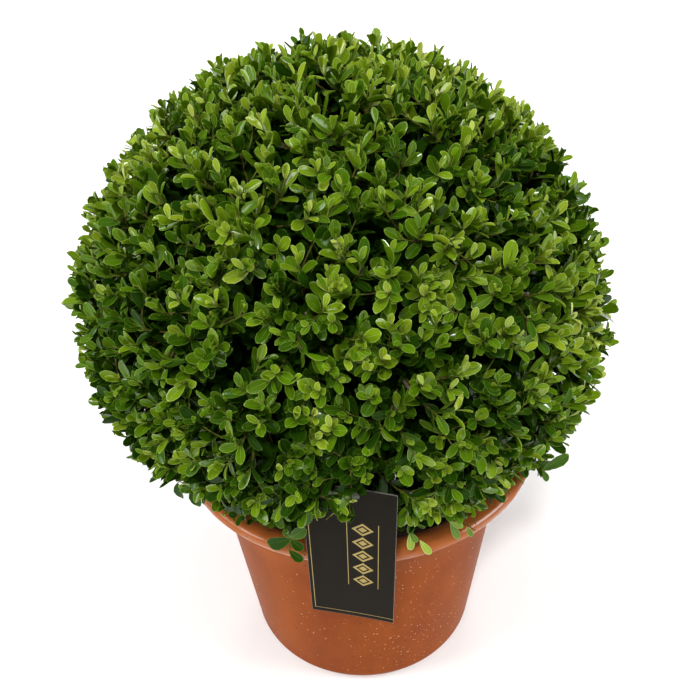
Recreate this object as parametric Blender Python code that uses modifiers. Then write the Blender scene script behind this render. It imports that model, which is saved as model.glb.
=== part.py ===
"""Potted Japanese holly, clipped to a ball: pot, compost, short trunk, boughs, crown and plant label.

Metres, +Z up. The origin is the centre of the pot's flat underside, and -Y is the front, where the label hangs.
"""

import math
import random

import bmesh
import bpy
from mathutils import Matrix, Vector

# Pot: turned, bell-mouthed and terracotta-coloured, with a ring of drain holes
TURN_STEPS = 48
FOOT_RADIUS = 0.1033
FOOT_ROUND = 0.0125
NECK_RADIUS = 0.1240
NECK_HEIGHT = 0.1860
LIP_RADIUS = 0.1500
LIP_ROUND = 0.0040
POT_HEIGHT = 0.2200
WALL = 0.0045
FLOOR_THICKNESS = 0.0060
DRAIN_COUNT = 5
DRAIN_RADIUS = 0.0055
DRAIN_SIDES = 12
DRAIN_RING = 0.0600

# Gap that touching pieces keep
GAP = 0.0003

# Compost: fills the pot to just under the flare, a little higher round the trunk
COMPOST_EDGE_HEIGHT = 0.1740
COMPOST_TOP_HEIGHT = 0.1800
COMPOST_FLAT_RADIUS = 0.0300

# Trunk: a short stem with a root flare that leans to the crown's side
LIMB_STEPS = 8
TRUNK_RADIUS = 0.0130
ROOT_FLARE_RADIUS = 0.0200
TRUNK_HEIGHT = 0.0280
TRUNK_LEAN = -0.0040

# Boughs: they leave the trunk's top in a ring and open out to the underside of the crown's core
BOUGH_COUNT = 5
BOUGH_FIRST_TURN = 0.25
BOUGH_BASE_RADIUS = 0.0042
BOUGH_TIP_RADIUS = 0.0030
BOUGH_RING = 0.0082
BOUGH_SPREAD = 0.0450

# Crown: a ball whose underside narrows towards a level foot just over the pot's lip
CROWN_CENTRE = Vector((-0.0088, 0.0, 0.3434))
CROWN_RADIUS = 0.2045
SKIRT_RADIUS = 0.1610
SKIRT_HEIGHT = 0.2440
CROWN_FOOT_HEIGHT = 0.2270
EDGE_SHARPNESS = 14
# Each bulge: its direction from the centre, and how far it swells or sinks
BULGES = (
    ((-0.95, 0.15, 0.25), 0.0020),
    ((0.90, -0.30, -0.30), 0.0032),
    ((-0.78, -0.40, -0.48), -0.0035),
    ((0.95, 0.10, 0.25), -0.0018),
)
BULGE_WIDTH = 6

# Core: the dense middle that the sprays stand out of, hollowed behind the label
CORE_DEPTH = 0.0360
CORE_FLOOR_HEIGHT = 0.2340
CORE_SUBDIVISIONS = 3
CORE_SPARE = 0.0100
HOLLOW_DEPTH = 0.0190
HOLLOW_WIDTH = 12

# Sprays of twigs and leaves, larger than life because each stands for several
SPRAY_COUNT = 65
SPRAY_SEED = 11
SPRAY_TILT = math.radians(4)
FORK_SHARE = 0.75
FORK_TILT = math.radians(12.5)
LOWEST_SPRAY = -0.60
TWIG_RADIUS = 0.0019
TWIG_TIP_RADIUS = 0.0009
SIDE_TWIG_RADIUS = 0.0014
TWIG_ROOT_DEPTH = 0.0100
LEAF_LENGTH = 0.0440
LEAF_WIDTH = 0.0270
LEAF_THICKNESS = 0.0012
LEAF_WIDEST = 0.58
LEAF_THICKEST = 0.25
TIP_LEAF_SHARE = 0.66
LEAF_TURNS = 10
LEAST_LEAF_ROOM = 0.0180
LOW_LEAF_PITCH = math.radians(74)
HIGH_LEAF_PITCH = math.radians(48)
MAIN_LEAVES = 3
SIDE_LEAVES = 2

# Label: a card hung on one of the crown's twigs by the hole near its top
CARD_WIDTH = 0.0650
CARD_HEIGHT = 0.1730
CARD_THICKNESS = 0.0008
CARD_CENTRE = Vector((-0.0091, -0.1545, 0.2259))
CARD_YAW = math.radians(-12.9)
CARD_LEAN = math.radians(9.9)
CARD_ROLL = math.radians(2.8)
CARD_HOLE_DROP = 0.0095
CARD_HOLE_RADIUS = 0.0036
HOLE_STEPS = 16
LABEL_TWIG_OFFSET = 0.0012
LABEL_TWIG_ROOT = 0.0300
LABEL_TWIG_REACH = 0.0340
LABEL_TWIG_RISING = math.radians(8)
LABEL_CLEARANCE = 0.0025

# Colours, roughness
TERRACOTTA = ((0.42, 0.13, 0.055, 1.0), 0.45)
COMPOST_BROWN = ((0.030, 0.018, 0.011, 1.0), 0.95)
BARK = ((0.16, 0.11, 0.075, 1.0), 0.85)
LEAF_GREEN = ((0.060, 0.155, 0.012, 1.0), 0.40)
CARD_BLACK = ((0.022, 0.020, 0.016, 1.0), 0.50)


def material(name, finish):
    """A Principled material of one colour and roughness."""
    colour, roughness = finish
    made = bpy.data.materials.new(name)
    made.use_nodes = True
    shader = made.node_tree.nodes["Principled BSDF"]
    shader.inputs["Base Color"].default_value = colour
    shader.inputs["Roughness"].default_value = roughness
    shader.inputs["Metallic"].default_value = 0.0
    return made


def mesh_object(name, bm, collection):
    """Turns a bmesh into an object of that collection, and frees the bmesh."""
    mesh = bpy.data.meshes.new(name)
    bm.to_mesh(mesh)
    bm.free()
    made = bpy.data.objects.new(name, mesh)
    collection.objects.link(made)
    return made


def arc(centre, radii, start, end, steps):
    """Points (radius, height) along an elliptical arc, with angles in degrees."""
    points = []
    for step in range(steps + 1):
        angle = math.radians(start + (end - start) * step / steps)
        points.append((centre[0] + radii[0] * math.cos(angle), centre[1] + radii[1] * math.sin(angle)))
    return points


def turned(name, profile, collection, finish):
    """A closed shape turned about Z from a profile that starts and ends on the axis."""
    bm = bmesh.new()
    corners = [bm.verts.new((radius, 0.0, height)) for radius, height in profile]
    for first, second in zip(corners, corners[1:]):
        bm.edges.new((first, second))
    made = mesh_object(name, bm, collection)
    screw = made.modifiers.new("turn", "SCREW")
    screw.axis = "Z"
    screw.steps = TURN_STEPS
    screw.render_steps = TURN_STEPS
    screw.use_merge_vertices = True
    screw.merge_threshold = 0.00005
    screw.use_smooth_shade = True
    made.data.materials.append(finish)
    return made


def inner_radius(height):
    """The pot's inside radius at a height below the flare."""
    share = (height - FLOOR_THICKNESS) / (NECK_HEIGHT + WALL - FLOOR_THICKNESS)
    foot = FOOT_RADIUS - WALL
    return foot + (NECK_RADIUS - WALL - foot) * share


def pot_profile():
    """Up the inside from the floor, out over the rounded lip, and down the outside to the rounded foot."""
    lip_centre = (LIP_RADIUS - LIP_ROUND, POT_HEIGHT - LIP_ROUND)
    inside_foot = inner_radius(FLOOR_THICKNESS) - WALL
    floor = [(0.0, FLOOR_THICKNESS), (inside_foot, FLOOR_THICKNESS)]
    floor.append((inner_radius(FLOOR_THICKNESS + WALL), FLOOR_THICKNESS + WALL))
    flare_depth = lip_centre[0] - NECK_RADIUS
    inner_flare = arc(
        (lip_centre[0], NECK_HEIGHT + WALL), (flare_depth + WALL, POT_HEIGHT - NECK_HEIGHT - WALL), 180, 98, 5
    )
    lip = arc(lip_centre, (LIP_ROUND, LIP_ROUND), 90, -90, 5)
    lip_underside = lip_centre[1] - LIP_ROUND
    outer_flare = arc((lip_centre[0], NECK_HEIGHT), (flare_depth, lip_underside - NECK_HEIGHT), 102, 180, 4)
    foot = arc((FOOT_RADIUS - FOOT_ROUND, FOOT_ROUND), (FOOT_ROUND, FOOT_ROUND), 0, -90, 3)
    return floor + inner_flare + lip + outer_flare + foot + [(0.0, 0.0)]


def drain_cutter(index, cutters):
    """A drain hole's cutter through the pot's floor."""
    angle = 2 * math.pi * index / DRAIN_COUNT
    bm = bmesh.new()
    bmesh.ops.create_cone(
        bm, cap_ends=True, segments=DRAIN_SIDES, radius1=DRAIN_RADIUS, radius2=DRAIN_RADIUS, depth=FLOOR_THICKNESS * 4
    )
    cutter = mesh_object(f"drain_cutter_{index + 1}", bm, cutters)
    cutter.location = (DRAIN_RING * math.cos(angle), DRAIN_RING * math.sin(angle), 0.0)
    cutter.hide_render = True
    cutter.display_type = "WIRE"


def build_pot(parts, cutters):
    """The turned pot with its ring of drain holes."""
    pot = turned("pot", pot_profile(), parts, material("terracotta", TERRACOTTA))
    for index in range(DRAIN_COUNT):
        drain_cutter(index, cutters)
    cut = pot.modifiers.new("drain_holes", "BOOLEAN")
    cut.operation = "DIFFERENCE"
    cut.operand_type = "COLLECTION"
    cut.collection = cutters
    cut.solver = "EXACT"


def build_compost(parts):
    """The compost: the pot's inside, a gap smaller, with a low mound round the trunk."""
    low = FLOOR_THICKNESS + GAP
    corner = low + WALL
    profile = [
        (0.0, COMPOST_TOP_HEIGHT),
        (COMPOST_FLAT_RADIUS, COMPOST_TOP_HEIGHT),
        (inner_radius(COMPOST_EDGE_HEIGHT) - GAP, COMPOST_EDGE_HEIGHT),
        (inner_radius(corner) - GAP, corner),
        (inner_radius(FLOOR_THICKNESS) - WALL - GAP, low),
        (0.0, low),
    ]
    turned("compost", profile, parts, material("compost", COMPOST_BROWN))


def limb(name, path, radii, parts, finish):
    """A tapering limb: a curve through the points, as thick as the radii say.

    Its first and last stretches are upright, so its flat ends are level.
    """
    path[1].xy = path[0].xy
    path[-2].xy = path[-1].xy
    curve = bpy.data.curves.new(name, "CURVE")
    curve.dimensions = "3D"
    curve.bevel_depth = 1.0
    curve.bevel_resolution = 2
    curve.use_fill_caps = True
    line = curve.splines.new("POLY")
    line.points.add(len(path) - 1)
    for point, place, radius in zip(line.points, path, radii):
        point.co = (*place, 1.0)
        point.radius = radius
    curve.materials.append(finish)
    parts.objects.link(bpy.data.objects.new(name, curve))


def eased(share):
    """A share that starts and ends gently, so a limb leaves and arrives upright."""
    return share * share * (3 - 2 * share)


def trunk_height(share):
    """The height at a share of the way up the trunk."""
    return COMPOST_TOP_HEIGHT + GAP + TRUNK_HEIGHT * share


def build_trunk(parts, bark):
    """Up from the flat cut on the compost, out of its root flare and over to its fork."""
    path, radii = [], []
    for step in range(LIMB_STEPS + 1):
        share = step / LIMB_STEPS
        path.append(Vector((TRUNK_LEAN * eased(share), 0.0, trunk_height(share))))
        radii.append(TRUNK_RADIUS + (ROOT_FLARE_RADIUS - TRUNK_RADIUS) * (1 - share) ** 3)
    limb("trunk", path, radii, parts, bark)


def build_boughs(parts, bark):
    """A ring of boughs that leave the trunk's top upright, open out and end upright under the core."""
    foot = Vector((TRUNK_LEAN, 0.0, trunk_height(1.0) + GAP))
    rise = CORE_FLOOR_HEIGHT - GAP - foot.z
    for index in range(BOUGH_COUNT):
        angle = 2 * math.pi * (index + BOUGH_FIRST_TURN) / BOUGH_COUNT
        outward = Vector((math.cos(angle), math.sin(angle), 0.0))
        path, radii = [], []
        for step in range(LIMB_STEPS + 1):
            share = step / LIMB_STEPS
            spread = BOUGH_RING + (BOUGH_SPREAD - BOUGH_RING) * eased(share)
            path.append(foot + outward * spread + Vector((0.0, 0.0, rise * share)))
            radii.append(BOUGH_BASE_RADIUS + (BOUGH_TIP_RADIUS - BOUGH_BASE_RADIUS) * share)
        limb(f"bough_{index + 1}", path, radii, parts, bark)


def reach(direction, depth=0.0, floor=CROWN_FOOT_HEIGHT):
    """How far the crown goes from its centre in a direction, less a depth.

    It is a ball with soft bulges, cut by a skirt that narrows downwards at 45 degrees and by a level foot.
    A high power of each distance's inverse rounds the edges where they meet.
    """
    ball = CROWN_RADIUS - depth
    for middle, swell in BULGES:
        ball += swell * max(0.0, direction.dot(Vector(middle).normalized())) ** BULGE_WIDTH
    sideways = math.hypot(direction.x, direction.y)
    inverses = [1 / ball]
    if sideways > direction.z:
        skirt = SKIRT_RADIUS + CROWN_CENTRE.z - SKIRT_HEIGHT - depth
        inverses.append((sideways - direction.z) / skirt)
    if direction.z < 0:
        inverses.append(-direction.z / (CROWN_CENTRE.z - floor))
    return sum(inverse**EDGE_SHARPNESS for inverse in inverses) ** (-1 / EDGE_SHARPNESS)


def crown_directions(count):
    """Straight up, then even directions over the ball from the golden spiral."""
    yield Vector((0.0, 0.0, 1.0))
    for index in range(1, count):
        height = 1 - 2 * (index + 0.5) / count
        around = index * math.pi * (3 - math.sqrt(5))
        level = math.sqrt(1 - height * height)
        yield Vector((level * math.cos(around), level * math.sin(around), height))


def tilted(direction, angle, around):
    """A direction tipped by an angle, towards a side that the second angle chooses."""
    side = Matrix.Rotation(around, 3, direction) @ direction.orthogonal().normalized()
    return direction * math.cos(angle) + side * math.sin(angle)


def surface_point(direction):
    """The point of the clipped surface in a direction from the crown's centre."""
    return CROWN_CENTRE + direction * reach(direction)


def card_frame():
    """The label's own axes in the world: X along the card, Y in through it, Z up it."""
    turn = Matrix.Rotation(CARD_YAW, 4, "Z") @ Matrix.Rotation(CARD_LEAN, 4, "X") @ Matrix.Rotation(CARD_ROLL, 4, "Y")
    return Matrix.Translation(CARD_CENTRE) @ turn


def card_hole(rise=0.0):
    """The centre of the card's hole, or a point that is higher up the card by the rise."""
    return card_frame() @ Vector((0.0, 0.0, CARD_HEIGHT / 2 - CARD_HOLE_DROP + rise))


def core_reach(direction, floor=CORE_FLOOR_HEIGHT):
    """How far the core goes from the centre in a direction: a depth inside the crown, and hollowed at the label."""
    towards_label = (card_hole() - CROWN_CENTRE).normalized()
    hollow = HOLLOW_DEPTH * max(0.0, direction.dot(towards_label)) ** HOLLOW_WIDTH
    return reach(direction, CORE_DEPTH, floor) - hollow


def clear_of_label(point):
    """True where a point keeps clear of the card."""
    local = card_frame().inverted() @ point
    across = abs(local.x) < CARD_WIDTH / 2 + LABEL_CLEARANCE
    along = abs(local.z) < CARD_HEIGHT / 2 + LABEL_CLEARANCE
    return not (across and along and abs(local.y) < CARD_THICKNESS / 2 + LABEL_CLEARANCE)


def fits(points):
    """True if the points, and the middles between them, keep inside the crown's reach and off the label."""
    tested = [(a + b) / 2 for a in points for b in points]
    offsets = [point - CROWN_CENTRE for point in tested]
    inside = all(offset.length < reach(offset.normalized()) + GAP for offset in offsets)
    return inside and all(clear_of_label(point) for point in tested)


def leaf_corners(root, along, face, scale):
    """A leaf's six corners: root, tip, two sides where it is widest, top and bottom where it is thickest."""
    side = face.cross(along).normalized()
    length = along * LEAF_LENGTH * scale
    half_width = side * LEAF_WIDTH * scale / 2
    half_thickness = along.cross(side) * LEAF_THICKNESS / 2
    widest = root + length * LEAF_WIDEST
    thickest = root + length * LEAF_THICKEST
    return {
        (0, 0, -1): root,
        (0, 0, 1): root + length,
        (-1, 0, 0): widest - half_width,
        (1, 0, 0): widest + half_width,
        (0, -1, 0): thickest - half_thickness,
        (0, 1, 0): thickest + half_thickness,
    }


def leaf_object(corners, pieces):
    """A leaf: an eight-sided bead drawn out to its six corners."""
    bm = bmesh.new()
    bmesh.ops.create_uvsphere(bm, u_segments=4, v_segments=2, radius=1.0)
    for vertex in bm.verts:
        vertex.co = corners[tuple(round(value) for value in vertex.co)]
    mesh_object("leaf", bm, pieces)


def twig_object(start, end, radius, pieces):
    """A three-sided tapering twig between two points."""
    bm = bmesh.new()
    bmesh.ops.create_cone(
        bm, cap_ends=True, segments=3, radius1=radius, radius2=TWIG_TIP_RADIUS, depth=(end - start).length
    )
    turn = (end - start).to_track_quat("Z", "Y").to_matrix().to_4x4()
    bmesh.ops.transform(bm, matrix=Matrix.Translation((start + end) / 2) @ turn, verts=bm.verts)
    mesh_object("twig", bm, pieces)


def barest_leaf(root, axis, pitch, scale, blades):
    """The corners of a leaf that stands off its twig at the pitch, turned to where the crown is barest.

    Each turn round the twig that fits is measured by how far its blade's middle is from the nearest blade.
    None if no turn fits.
    """
    best, best_room = None, LEAST_LEAF_ROOM
    for step in range(LEAF_TURNS):
        out = tilted(axis, math.pi / 2, 2 * math.pi * step / LEAF_TURNS)
        along = axis * math.cos(pitch) + out * math.sin(pitch)
        face = axis * math.sin(pitch) - out * math.cos(pitch)
        middle = root + along * LEAF_LENGTH * scale * LEAF_WIDEST
        room = min(((middle - blade).length for blade in blades), default=1.0)
        corners = leaf_corners(root, along, face, scale)
        if room > best_room and fits(list(corners.values())):
            best, best_room = corners, room
    return best


def leafy_twig(start, aim, radius, leaves, bare, chance, blades, pieces):
    """A twig towards a point that its last leaf's tip touches, with leaves round it from node to node.

    The first leaf stands off most, the next ones less. The twig is bare over its first stretch.
    Returns its end, or None if it doesn't fit.
    """
    axis = (aim - start).normalized()
    tip_scale = TIP_LEAF_SHARE * chance.uniform(0.85, 1.1)
    end = aim - axis * LEAF_LENGTH * tip_scale
    face = tilted(axis, math.pi / 2, chance.uniform(0, 2 * math.pi))
    tip_leaf = leaf_corners(end, axis, face, tip_scale)
    if not fits([start, end]) or not fits(list(tip_leaf.values())):
        return None
    twig_object(start, end + axis * TWIG_RADIUS, radius, pieces)
    leaf_object(tip_leaf, pieces)
    blades.append(end + axis * LEAF_LENGTH * tip_scale * LEAF_WIDEST)
    for index in range(leaves):
        share = (index + 0.5) / leaves
        pitch = LOW_LEAF_PITCH + (HIGH_LEAF_PITCH - LOW_LEAF_PITCH) * share
        root = (start + axis * bare).lerp(end, share)
        corners = barest_leaf(root, axis, pitch, chance.uniform(0.88, 1.08), blades)
        if corners:
            leaf_object(corners, pieces)
            blades.append((corners[(-1, 0, 0)] + corners[(1, 0, 0)]) / 2)
    return end


def spray(direction, chance, blades, pieces):
    """One spray: a twig that leaves the core, forks once and brings its leaves to the clipped surface."""
    start = CROWN_CENTRE + direction * (core_reach(direction) - TWIG_ROOT_DEPTH)
    aim = surface_point(tilted(direction, SPRAY_TILT, chance.uniform(0, 2 * math.pi)))
    end = leafy_twig(start, aim, TWIG_RADIUS, MAIN_LEAVES, TWIG_ROOT_DEPTH, chance, blades, pieces)
    if end is None:
        return
    fork = start.lerp(end, FORK_SHARE)
    aim = surface_point(tilted(direction, FORK_TILT, chance.uniform(0, 2 * math.pi)))
    leafy_twig(fork, aim, SIDE_TWIG_RADIUS, SIDE_LEAVES, SIDE_TWIG_RADIUS, chance, blades, pieces)


def label_twig(chance, blades, pieces):
    """The twig that the label hangs on: out of the hollow, through the card's hole, and leafy in front of it."""
    crossing = card_hole(LABEL_TWIG_OFFSET)
    heading = crossing - CROWN_CENTRE
    heading.z = heading.length * math.sin(LABEL_TWIG_RISING)
    heading.normalize()
    start = crossing - heading * LABEL_TWIG_ROOT
    aim = crossing + heading * LABEL_TWIG_REACH
    leafy_twig(start, aim, TWIG_RADIUS, MAIN_LEAVES, LABEL_TWIG_ROOT, chance, blades, pieces)


def core_mesh():
    """The core: a geodesic ball drawn to the core's shape and cut level underneath."""
    bm = bmesh.new()
    bmesh.ops.create_icosphere(bm, subdivisions=CORE_SUBDIVISIONS, radius=1.0)
    for vertex in bm.verts:
        direction = vertex.co.normalized()
        vertex.co = CROWN_CENTRE + direction * core_reach(direction, CORE_FLOOR_HEIGHT - CORE_SPARE)
    everything = list(bm.verts) + list(bm.edges) + list(bm.faces)
    cut = bmesh.ops.bisect_plane(
        bm, geom=everything, plane_co=(0, 0, CORE_FLOOR_HEIGHT), plane_no=(0, 0, -1), clear_outer=True
    )
    rim = [item for item in cut["geom_cut"] if isinstance(item, bmesh.types.BMEdge)]
    bmesh.ops.contextual_create(bm, geom=rim)
    bmesh.ops.recalc_face_normals(bm, faces=bm.faces)
    return bm


def connected(vertex):
    """Every vertex that edges join to this one, itself included."""
    found, fresh = {vertex}, [vertex]
    while fresh:
        here = fresh.pop()
        for edge in here.link_edges:
            other = edge.other_vert(here)
            if other not in found:
                found.add(other)
                fresh.append(other)
    return found


def keep_outer_shell(mesh):
    """Deletes all but the largest shell, which fills any hollow sealed by the union and drops loose scraps."""
    bm = bmesh.new()
    bm.from_mesh(mesh)
    shells, unseen = [], set(bm.verts)
    while unseen:
        shells.append(connected(next(iter(unseen))))
        unseen -= shells[-1]
    outer = max(shells, key=len)
    bmesh.ops.delete(bm, geom=[vertex for vertex in bm.verts if vertex not in outer], context="VERTS")
    bm.to_mesh(mesh)
    bm.free()


def build_crown(parts):
    """The crown: one Boolean union of the core with every spray."""
    chance = random.Random(SPRAY_SEED)
    pieces = bpy.data.collections.new("crown_pieces")
    bpy.context.scene.collection.children.link(pieces)
    blades = []
    label_twig(chance, blades, pieces)
    for direction in crown_directions(SPRAY_COUNT):
        if direction.z > LOWEST_SPRAY:
            spray(direction, chance, blades, pieces)
    crown = mesh_object("crown", core_mesh(), parts)
    crown.data.materials.append(material("leaf", LEAF_GREEN))
    join = crown.modifiers.new("join_sprays", "BOOLEAN")
    join.operation = "UNION"
    join.operand_type = "COLLECTION"
    join.collection = pieces
    join.solver = "EXACT"
    bpy.context.view_layer.update()
    joined = bpy.data.meshes.new_from_object(crown.evaluated_get(bpy.context.evaluated_depsgraph_get()))
    keep_outer_shell(joined)
    crown.modifiers.remove(join)
    crown.data = joined
    for piece in list(pieces.objects):
        bpy.data.objects.remove(piece)
    bpy.data.collections.remove(pieces)


def card_outline(curve, half_width, half_height):
    """The card's four corners as a closed outline."""
    outline = curve.splines.new("POLY")
    outline.points.add(3)
    for point, (x, y) in zip(outline.points, ((-1, -1), (1, -1), (1, 1), (-1, 1))):
        point.co = (x * half_width, y * half_height, 0.0, 1.0)
    outline.use_cyclic_u = True


def card_hole_outline(curve, centre_height):
    """The hole's round outline, inside the card's."""
    outline = curve.splines.new("POLY")
    outline.points.add(HOLE_STEPS - 1)
    for step, point in enumerate(outline.points):
        angle = 2 * math.pi * step / HOLE_STEPS
        point.co = (CARD_HOLE_RADIUS * math.cos(angle), centre_height + CARD_HOLE_RADIUS * math.sin(angle), 0.0, 1.0)
    outline.use_cyclic_u = True


def build_label(parts):
    """The label: a flat card with a round hole near its top."""
    curve = bpy.data.curves.new("label", "CURVE")
    curve.dimensions = "2D"
    curve.fill_mode = "BOTH"
    curve.extrude = CARD_THICKNESS / 2
    card_outline(curve, CARD_WIDTH / 2, CARD_HEIGHT / 2)
    card_hole_outline(curve, CARD_HEIGHT / 2 - CARD_HOLE_DROP)
    curve.materials.append(material("card", CARD_BLACK))
    label = bpy.data.objects.new("label", curve)
    label.matrix_world = card_frame() @ Matrix.Rotation(math.pi / 2, 4, "X")
    parts.objects.link(label)


def main():
    for old in list(bpy.data.objects):
        bpy.data.objects.remove(old)
    parts = bpy.data.collections.new("potted_japanese_holly")
    cutters = bpy.data.collections.new("cutters")
    for collection in (parts, cutters):
        bpy.context.scene.collection.children.link(collection)
    bark = material("bark", BARK)
    build_pot(parts, cutters)
    build_compost(parts)
    build_trunk(parts, bark)
    build_boughs(parts, bark)
    build_crown(parts)
    build_label(parts)


main()
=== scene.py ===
"""A potted Japanese holly clipped to a ball: pot, compost, bark, twigs, thousands of leaves and a label.

Metres, +Z up. The origin is the centre of the pot's flat underside. -Y is the front, where the label hangs.
Pieces are surfaces worked out as whole arrays of points, and all that is random comes from seeded generators.
"""

import math
from collections import namedtuple

import bmesh
import bpy
import numpy as np
from mathutils import Matrix, Vector


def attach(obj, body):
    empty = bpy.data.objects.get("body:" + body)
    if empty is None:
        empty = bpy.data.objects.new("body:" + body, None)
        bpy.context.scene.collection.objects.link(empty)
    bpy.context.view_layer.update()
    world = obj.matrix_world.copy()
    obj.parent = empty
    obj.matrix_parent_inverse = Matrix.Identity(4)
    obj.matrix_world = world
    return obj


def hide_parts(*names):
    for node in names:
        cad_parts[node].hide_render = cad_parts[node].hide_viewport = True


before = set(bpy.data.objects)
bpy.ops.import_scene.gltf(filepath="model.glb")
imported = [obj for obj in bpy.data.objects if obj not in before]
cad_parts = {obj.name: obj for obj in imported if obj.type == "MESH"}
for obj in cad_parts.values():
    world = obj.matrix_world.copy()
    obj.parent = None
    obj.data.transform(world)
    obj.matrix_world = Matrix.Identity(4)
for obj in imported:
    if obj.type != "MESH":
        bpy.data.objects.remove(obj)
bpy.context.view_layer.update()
UP = np.array([0.0, 0.0, 1.0])

# Pot
TURN_STEPS = 240
FOOT_RADIUS = 0.1033
FOOT_ROUND = 0.0125
NECK_RADIUS = 0.1240
NECK_HEIGHT = 0.1860
LIP_RADIUS = 0.1500
LIP_ROUND = 0.0055
POT_HEIGHT = 0.2200
WALL = 0.0045
FLOOR_THICKNESS = 0.0060
DRAIN_COUNT = 5
DRAIN_RADIUS = 0.0055
DRAIN_RING = 0.0600
GAP = 0.0003

# Compost
COMPOST_EDGE_HEIGHT = 0.1740
COMPOST_TOP_HEIGHT = 0.1800
COMPOST_FLAT_RADIUS = 0.0300

# Trunk and boughs
TRUNK_RADIUS = 0.0130
ROOT_FLARE_RADIUS = 0.0200
TRUNK_HEIGHT = 0.0280
TRUNK_LEAN = -0.0040
BOUGH_COUNT = 5
BOUGH_FIRST_TURN = 0.25
BOUGH_BASE_RADIUS = 0.0042
BOUGH_TIP_RADIUS = 0.0030
BOUGH_RING = 0.0082
BOUGH_SPREAD = 0.0450
CORE_FLOOR_HEIGHT = 0.2340

# Crown: a ball whose underside narrows towards a level foot just over the pot's lip
CROWN_CENTRE = np.array([-0.0088, 0.0, 0.3434])
CROWN_RADIUS = 0.2045
SKIRT_RADIUS = 0.1610
SKIRT_HEIGHT = 0.2440
CROWN_FOOT_HEIGHT = 0.2270
EDGE_SHARPNESS = 14
BULGES = (
    ((-0.95, 0.15, 0.25), 0.0020),
    ((0.90, -0.30, -0.30), 0.0032),
    ((-0.78, -0.40, -0.48), -0.0035),
    ((0.95, 0.10, 0.25), -0.0018),
)
BULGE_WIDTH = 6

# Label
CARD_WIDTH = 0.0650
CARD_HEIGHT = 0.1730
CARD_THICKNESS = 0.0008
CARD_CENTRE = Vector((-0.0091, -0.1545, 0.2259))
CARD_YAW = math.radians(-12.9)
CARD_LEAN = math.radians(9.9)
CARD_ROLL = math.radians(2.8)
CARD_HOLE_DROP = 0.0095
CARD_HOLE_RADIUS = 0.0036
LABEL_TWIG_OFFSET = 0.0012
LABEL_TWIG_ROOT = 0.0300
LABEL_TWIG_REACH = 0.0200
LABEL_TWIG_RISING = math.radians(8)

# Camera, as seen from in front and above
CAMERA_TARGET = Vector((-0.0042, 0.0, 0.2983))
CAMERA_DISTANCE = 0.75
CAMERA_ELEVATION = math.radians(36.15)
CAMERA_ROLL = math.radians(-2.19)
CAMERA_LENS = 47.56
SENSOR_WIDTH = 36.0

# Arrays and meshes


def unit(vectors):
    """Each vector divided by its own length."""
    return vectors / np.maximum(np.linalg.norm(vectors, axis=-1, keepdims=True), 1e-9)


def square_to(along, vectors):
    """The unit vectors square to along that lie nearest to the given ones."""
    return unit(vectors - along * (vectors * along).sum(-1, keepdims=True))


def around(angle, radius=1.0, height=0.0):
    """Points round the Z axis: radius * cos(angle), radius * sin(angle) and the height."""
    return np.stack([radius * np.cos(angle), radius * np.sin(angle), height + 0 * angle], -1)


def ripple(points, size, seed, waves=24):
    """A smooth random field, mostly between -1.5 and 1.5.

    It is the sum of cosine waves that cross the points in random directions, each about as long as the size,
    scaled so that its square is 1 on average.
    """
    chance = np.random.default_rng(seed)
    fronts = unit(chance.normal(size=(waves, 3))) * chance.uniform(0.7, 1.4, (waves, 1)) * 2 * np.pi / size
    phases = chance.uniform(0, 2 * np.pi, waves)
    return np.cos(points @ fronts.T + phases).sum(-1) * math.sqrt(2 / waves)


def grid_faces(rows, columns, closed=True):
    """Quads between the neighbours in a grid of points numbered row by row; closed joins each row's two ends.

    A quad's outer side is the cross product of the way along its row and the way to the next row.
    """
    row = np.arange(rows - 1)[:, None]
    column = np.arange(columns if closed else columns - 1)[None, :]
    beside = (column + 1) % columns
    here, there = row * columns, (row + 1) * columns
    return np.stack([here + column, here + beside, there + beside, there + column], -1).reshape(-1, 4)


def fan_faces(centre, first, count, closed=True):
    """Triangles from one centre point to each pair of neighbours in a row of count points."""
    step = np.arange(count if closed else count - 1)
    return np.stack([np.full(len(step), centre), first + step, first + (step + 1) % count], -1)


def capped_faces(rows, sides):
    """A closed tube's wall, and the fans at its ends, whose middles are the two points after its rows."""
    last = rows * sides
    base = fan_faces(last, 0, sides)[:, [0, 2, 1]]
    return grid_faces(rows, sides), np.concatenate([base, fan_faces(last + 1, last - sides, sides)])


def copies(faces, count, stride):
    """The same faces for each of count equal runs of points."""
    return (faces[None] + np.arange(count)[:, None, None] * stride).reshape(-1, faces.shape[1])


def add_object(name, data):
    """Puts an object with its data in the scene, at the origin."""
    made = bpy.data.objects.new(name, data)
    bpy.context.scene.collection.objects.link(made)
    return made


def mesh_object(name, corners, face_sets, smooth=True):
    """A mesh object from an array of corners and arrays of faces, some of triangles and some of quads."""
    mesh = bpy.data.meshes.new(name)
    corners = corners.reshape(-1, 3).astype(np.float32)
    sides = np.concatenate([np.full(len(faces), faces.shape[1]) for faces in face_sets])
    loops = np.concatenate([faces.ravel() for faces in face_sets]).astype(np.int32)
    starts = np.concatenate([[0], np.cumsum(sides)[:-1]]).astype(np.int32)
    mesh.vertices.add(len(corners))
    mesh.vertices.foreach_set("co", corners.ravel())
    mesh.loops.add(len(loops))
    mesh.loops.foreach_set("vertex_index", loops)
    mesh.polygons.add(len(sides))
    mesh.polygons.foreach_set("loop_start", starts)
    mesh.polygons.foreach_set("use_smooth", np.full(len(sides), smooth))
    mesh.update(calc_edges=True)
    return add_object(name, mesh)


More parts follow.
